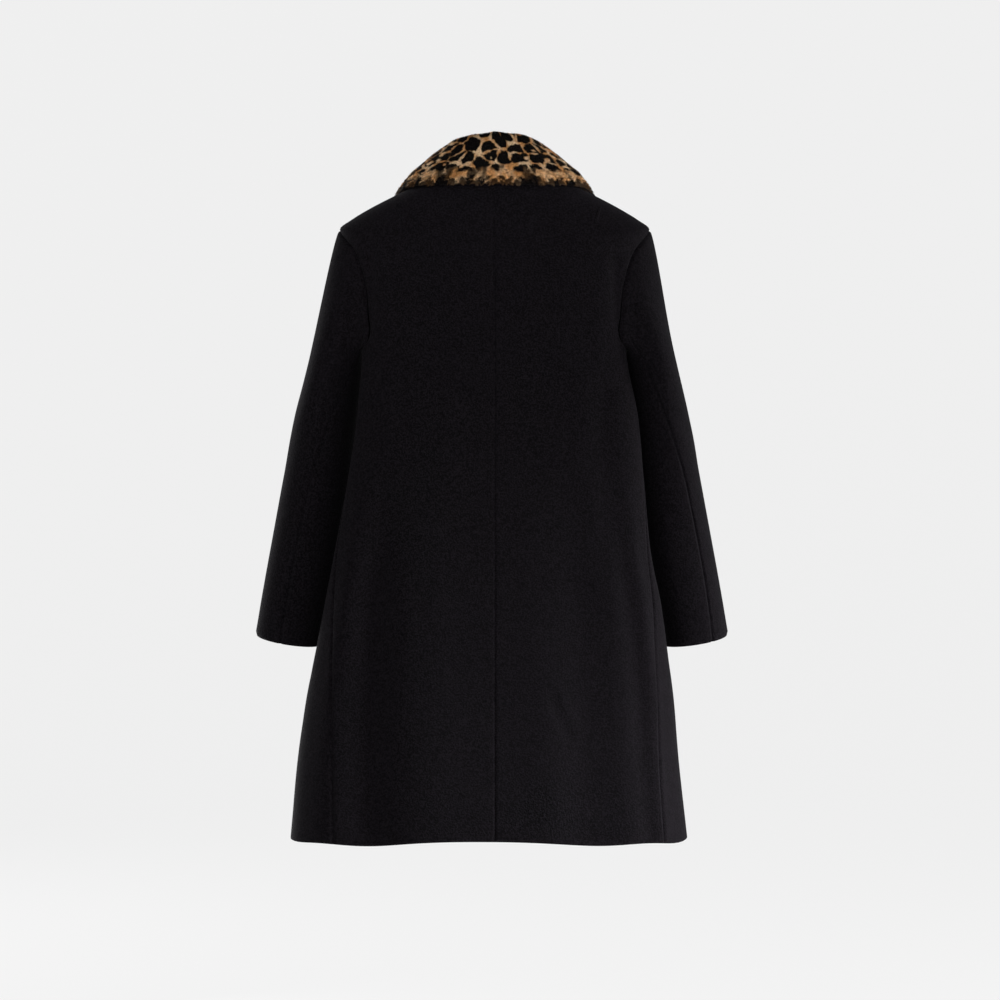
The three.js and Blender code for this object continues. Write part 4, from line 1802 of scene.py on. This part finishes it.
    def cells(self, g: Graph, vector: Socket, size: float, feature: str) -> bpy.types.Node:
        """Scattered cells of a size."""
        inputs = {"Vector": vector, "Scale": 1 / size, "Randomness": 0.9}
        return g.add("ShaderNodeTexVoronoi", inputs, voronoi_dimensions="2D", feature=feature)


@dataclass(frozen=True)
class Paper:
    """The plain pale background paper."""

    colour: Colour = (0.06, 0.06, 0.06, 1)
    glow: float = 0.82

    def make(self) -> bpy.types.Material:
        """Makes the finish.

        Returns:
            The material.
        """
        g = Graph("background paper")
        return g.finish(
            Base_Color=self.colour,
            Roughness=1.0,
            Specular_IOR_Level=0.0,
            Emission_Color=(1, 1, 1, 1),
            Emission_Strength=self.glow,
        )


# Studio


@dataclass(frozen=True)
class Lamp:
    """A square soft lamp.

    Attributes:
        name: its name.
        place: where it hangs.
        target: what it points at.
        size: the length of its side.
        power: its power in watts.
        spread: the angle of its beam in degrees.
    """

    name: str
    place: Triple
    target: Triple
    size: float
    power: float
    spread: float = 180.0

    def hang(self) -> None:
        """Adds the lamp to the scene."""
        data = bpy.data.lights.new(self.name, "AREA")
        data.size = self.size
        data.energy = self.power
        data.spread = math.radians(self.spread)
        lamp = bpy.data.objects.new(self.name, data)
        bpy.context.scene.collection.objects.link(lamp)
        lamp.location = self.place
        lamp.visible_camera = False
        way = np.array(self.target) - np.array(self.place)
        flat = math.hypot(way[0], way[1])
        lamp.rotation_euler = (math.atan2(flat, -way[2]), 0, math.atan2(way[1], way[0]) - math.pi / 2)


@dataclass
class Studio:
    """The paper bowl, the lights and the camera.

    Attributes:
        scale: metres that one pixel shows at the coat's middle.
        distance: from the camera to the coat's middle.
        look_x: the x of the picture's middle.
        look_z: the height of the picture's middle.
        floor: the height of the floor.
        sky: the strength of the plain white sky.
        bowl: the radius and the rise of each ring of the paper.
        film: the width of the camera's picture in millimetres.
    """

    scale: float = 0.0014
    distance: float = 5.0
    look_x: float = -0.007
    look_z: float = -0.4508
    floor: float = -1.35
    sky: float = 0.3
    bowl: tuple[tuple[float, float], ...] = (
        (0.001, 0), (1.5, 0), (3, 0), (4.5, 0), (6, 0), (7, 0.12),
        (7.8, 0.45), (8.4, 1.0), (8.8, 1.8), (9, 3), (9, 5), (9, 9),
    )
    film: float = 36.0

    def build(self) -> None:
        """Builds all of it."""
        self.paper()
        self.lights()
        self.camera()

    def paper(self) -> None:
        """Lays a round floor whose rim curves up into a wall."""
        turn = np.linspace(0, 2 * math.pi, 97)[None, :]
        radius, rise = np.array(self.bowl).T[..., None]
        level = self.floor + rise + 0 * turn
        points = np.stack([radius * np.cos(turn), radius * np.sin(turn), level], axis=-1)
        inward = np.broadcast_to(np.array([0, 0, 1.0]), points.shape)
        piece = grid_piece("paper", points / MM, inward)
        only(piece)
        bpy.ops.object.mode_set(mode="EDIT")
        bpy.ops.mesh.select_all(action="SELECT")
        bpy.ops.mesh.remove_doubles(threshold=0.0005)
        bpy.ops.object.mode_set(mode="OBJECT")
        bpy.ops.object.shade_smooth()
        piece.data.materials.append(Paper().make())
        piece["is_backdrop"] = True

    def lights(self) -> None:
        """Sets a dim sky and the lamps, the key low at the right of the picture."""
        world = bpy.data.worlds.new("studio")
        world.use_nodes = True
        inputs = world.node_tree.nodes["Background"].inputs
        inputs["Color"].default_value = (1, 1, 1, 1)
        inputs["Strength"].default_value = self.sky
        bpy.context.scene.world = world
        for lamp in (
            Lamp("low beam", (-2.1, 1.05, -0.86), (0, 0.1, -0.88), 0.35, 3.3, 33),
            Lamp("collar light", (-0.9, 2.2, 0.7), (0, 0.08, 0.03), 0.4, 0.16, 13),
            Lamp("right rim", (-3.1, -0.75, -0.4), (0, 0, -0.45), 1.3, 100),
            Lamp("back fill", (0.4, 4.2, 0.2), (0, 0, -0.45), 2.4, 30),
            Lamp("front key", (2.6, -2.6, 0.8), (0, 0, -0.45), 1.8, 100),
            Lamp("front low", (1.0, -1.1, -1.2), (0, 0, -0.7), 0.8, 24),
        ):
            lamp.hang()

    def camera(self) -> None:
        """Sets the camera level behind the coat, at the picture's scale."""
        data = bpy.data.cameras.new("camera")
        data.sensor_width = self.film
        data.lens = self.film * self.distance / (self.scale * 1000)
        camera = bpy.data.objects.new("camera", data)
        bpy.context.scene.collection.objects.link(camera)
        camera.location = (self.look_x, self.distance, self.look_z)
        camera.rotation_euler = (math.radians(90), 0, math.radians(180))
        bpy.context.scene.camera = camera
        bpy.context.scene.view_settings.view_transform = "Standard"


BACK_LEFT_CREASES = (
    Crease((172, -92), (180, -250), 8, -3.6, -3),
    Crease((150, -140), (146, -340), 9, 1.6, 4),
    Crease((131, -150), (126, -400), 13, -1.2, 3),
    Crease((184, -262), (128, -345), 9, -1.2, 8),
    Crease((62, -300), (74, -860), 30, 1.2, 8),
    Crease((104, -560), (92, -640), 9, -0.9, 3),
    Crease((30, -40), (52, -150), 20, 0.8, -4),
)
BACK_RIGHT_CREASES = (
    Crease((-168, -96), (-178, -260), 9, -3.2, 3),
    Crease((-143, -255), (-150, -560), 17, -4.2, -4),
    Crease((-140, -150), (-136, -360), 12, 1.2, -4),
    Crease((-182, -266), (-126, -330), 9, -1.0, -7),
    Crease((-46, -330), (-58, -820), 28, 1.0, -7),
    Crease((-76, -712), (-104, -782), 7, -2.3, 2),
    Crease((-90, -706), (-116, -770), 9, 1.0, 2),
    Crease((-34, -45), (-55, -140), 18, 0.8, 4),
)
FRONT_LEFT_CREASES = (
    Crease((160, -130), (150, -235), 16, -2.2),
    Crease((178, -268), (112, -350), 10, -1.6, 8),
    Crease((70, -320), (84, -830), 28, 1.2, 9),
    Crease((128, -560), (112, -660), 9, -0.9, 3),
)
FRONT_RIGHT_CREASES = (
    Crease((-159, -130), (-149, -235), 16, -2.1),
    Crease((-176, -268), (-108, -345), 10, -1.4, -8),
    Crease((-66, -340), (-78, -850), 26, 1.1, -8),
    Crease((-118, -600), (-100, -690), 9, -1.0, -3),
)
LEFT_SLEEVE_CREASES = (
    Crease((95, -300), (60, -360), 9, -1.5, 4),
    Crease((80, -430), (20, -470), 9, -1.2, 5),
    Crease((-70, -415), (-20, -470), 10, -1.8, -5),
    Crease((-80, -455), (-30, -505), 9, -1.3, -4),
    Crease((20, -200), (34, -420), 14, 0.9, 4),
    Crease((60, -560), (64, -640), 10, 0.8, 2),
)
RIGHT_SLEEVE_CREASES = (
    Crease((92, -305), (54, -368), 9, -1.4, 4),
    Crease((74, -445), (18, -480), 9, -1.1, 5),
    Crease((-68, -405), (-18, -462), 10, -1.6, -5),
    Crease((-82, -450), (-34, -498), 9, -1.4, -4),
    Crease((16, -210), (30, -400), 14, 0.9, -4),
    Crease((58, -550), (60, -636), 10, 0.7, 2),
)


class Coat:
    """The whole coat."""

    def build(self) -> None:
        """Builds the backs, the fronts, the sleeves and the collar."""
        body = BodyForm()
        wool = Wool().make()
        fur = Shearling().make()
        left_dart = Dart("left_dart", Side.LEFT, (142, -35), (122, -75))
        right_dart = Dart("right_dart", Side.RIGHT, (-148, -38), (-136, -74))
        for panel in (
            Panel("back_left", Side.LEFT, True, (0.32, 0.94), 0.235, BACK_LEFT_CREASES, (left_dart,)),
            Panel("back_right", Side.RIGHT, True, (0.32, 0.94), 0.235, BACK_RIGHT_CREASES, (right_dart,)),
            Panel("front_left", Side.LEFT, False, (0.46, 0.90), 0.34, FRONT_LEFT_CREASES),
            Panel("front_right", Side.RIGHT, False, (0.46, 0.90), 0.34, FRONT_RIGHT_CREASES),
        ):
            panel.build(body, wool)
        for sleeve in (
            Sleeve(Side.LEFT, (0.30, 0.60), 0.12, (0.15, 0.45), 0.055, LEFT_SLEEVE_CREASES),
            Sleeve(Side.RIGHT, (0.30, 0.60), 0.12, (0.15, 0.45), 0.055, RIGHT_SLEEVE_CREASES),
        ):
            sleeve.build(body, wool)
        Collar().build(body, fur, wool)


def corners() -> list[list[float]]:
    """The lowest and the highest corner of what shows, as plain lists."""
    return [list(corner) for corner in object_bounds()]


def main() -> None:
    """Builds the coat in its studio."""
    logging.basicConfig(level=logging.INFO, format="%(name)s: %(message)s")
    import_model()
    Coat().build()
    Studio().build()


if __name__ == "__main__":
    main()
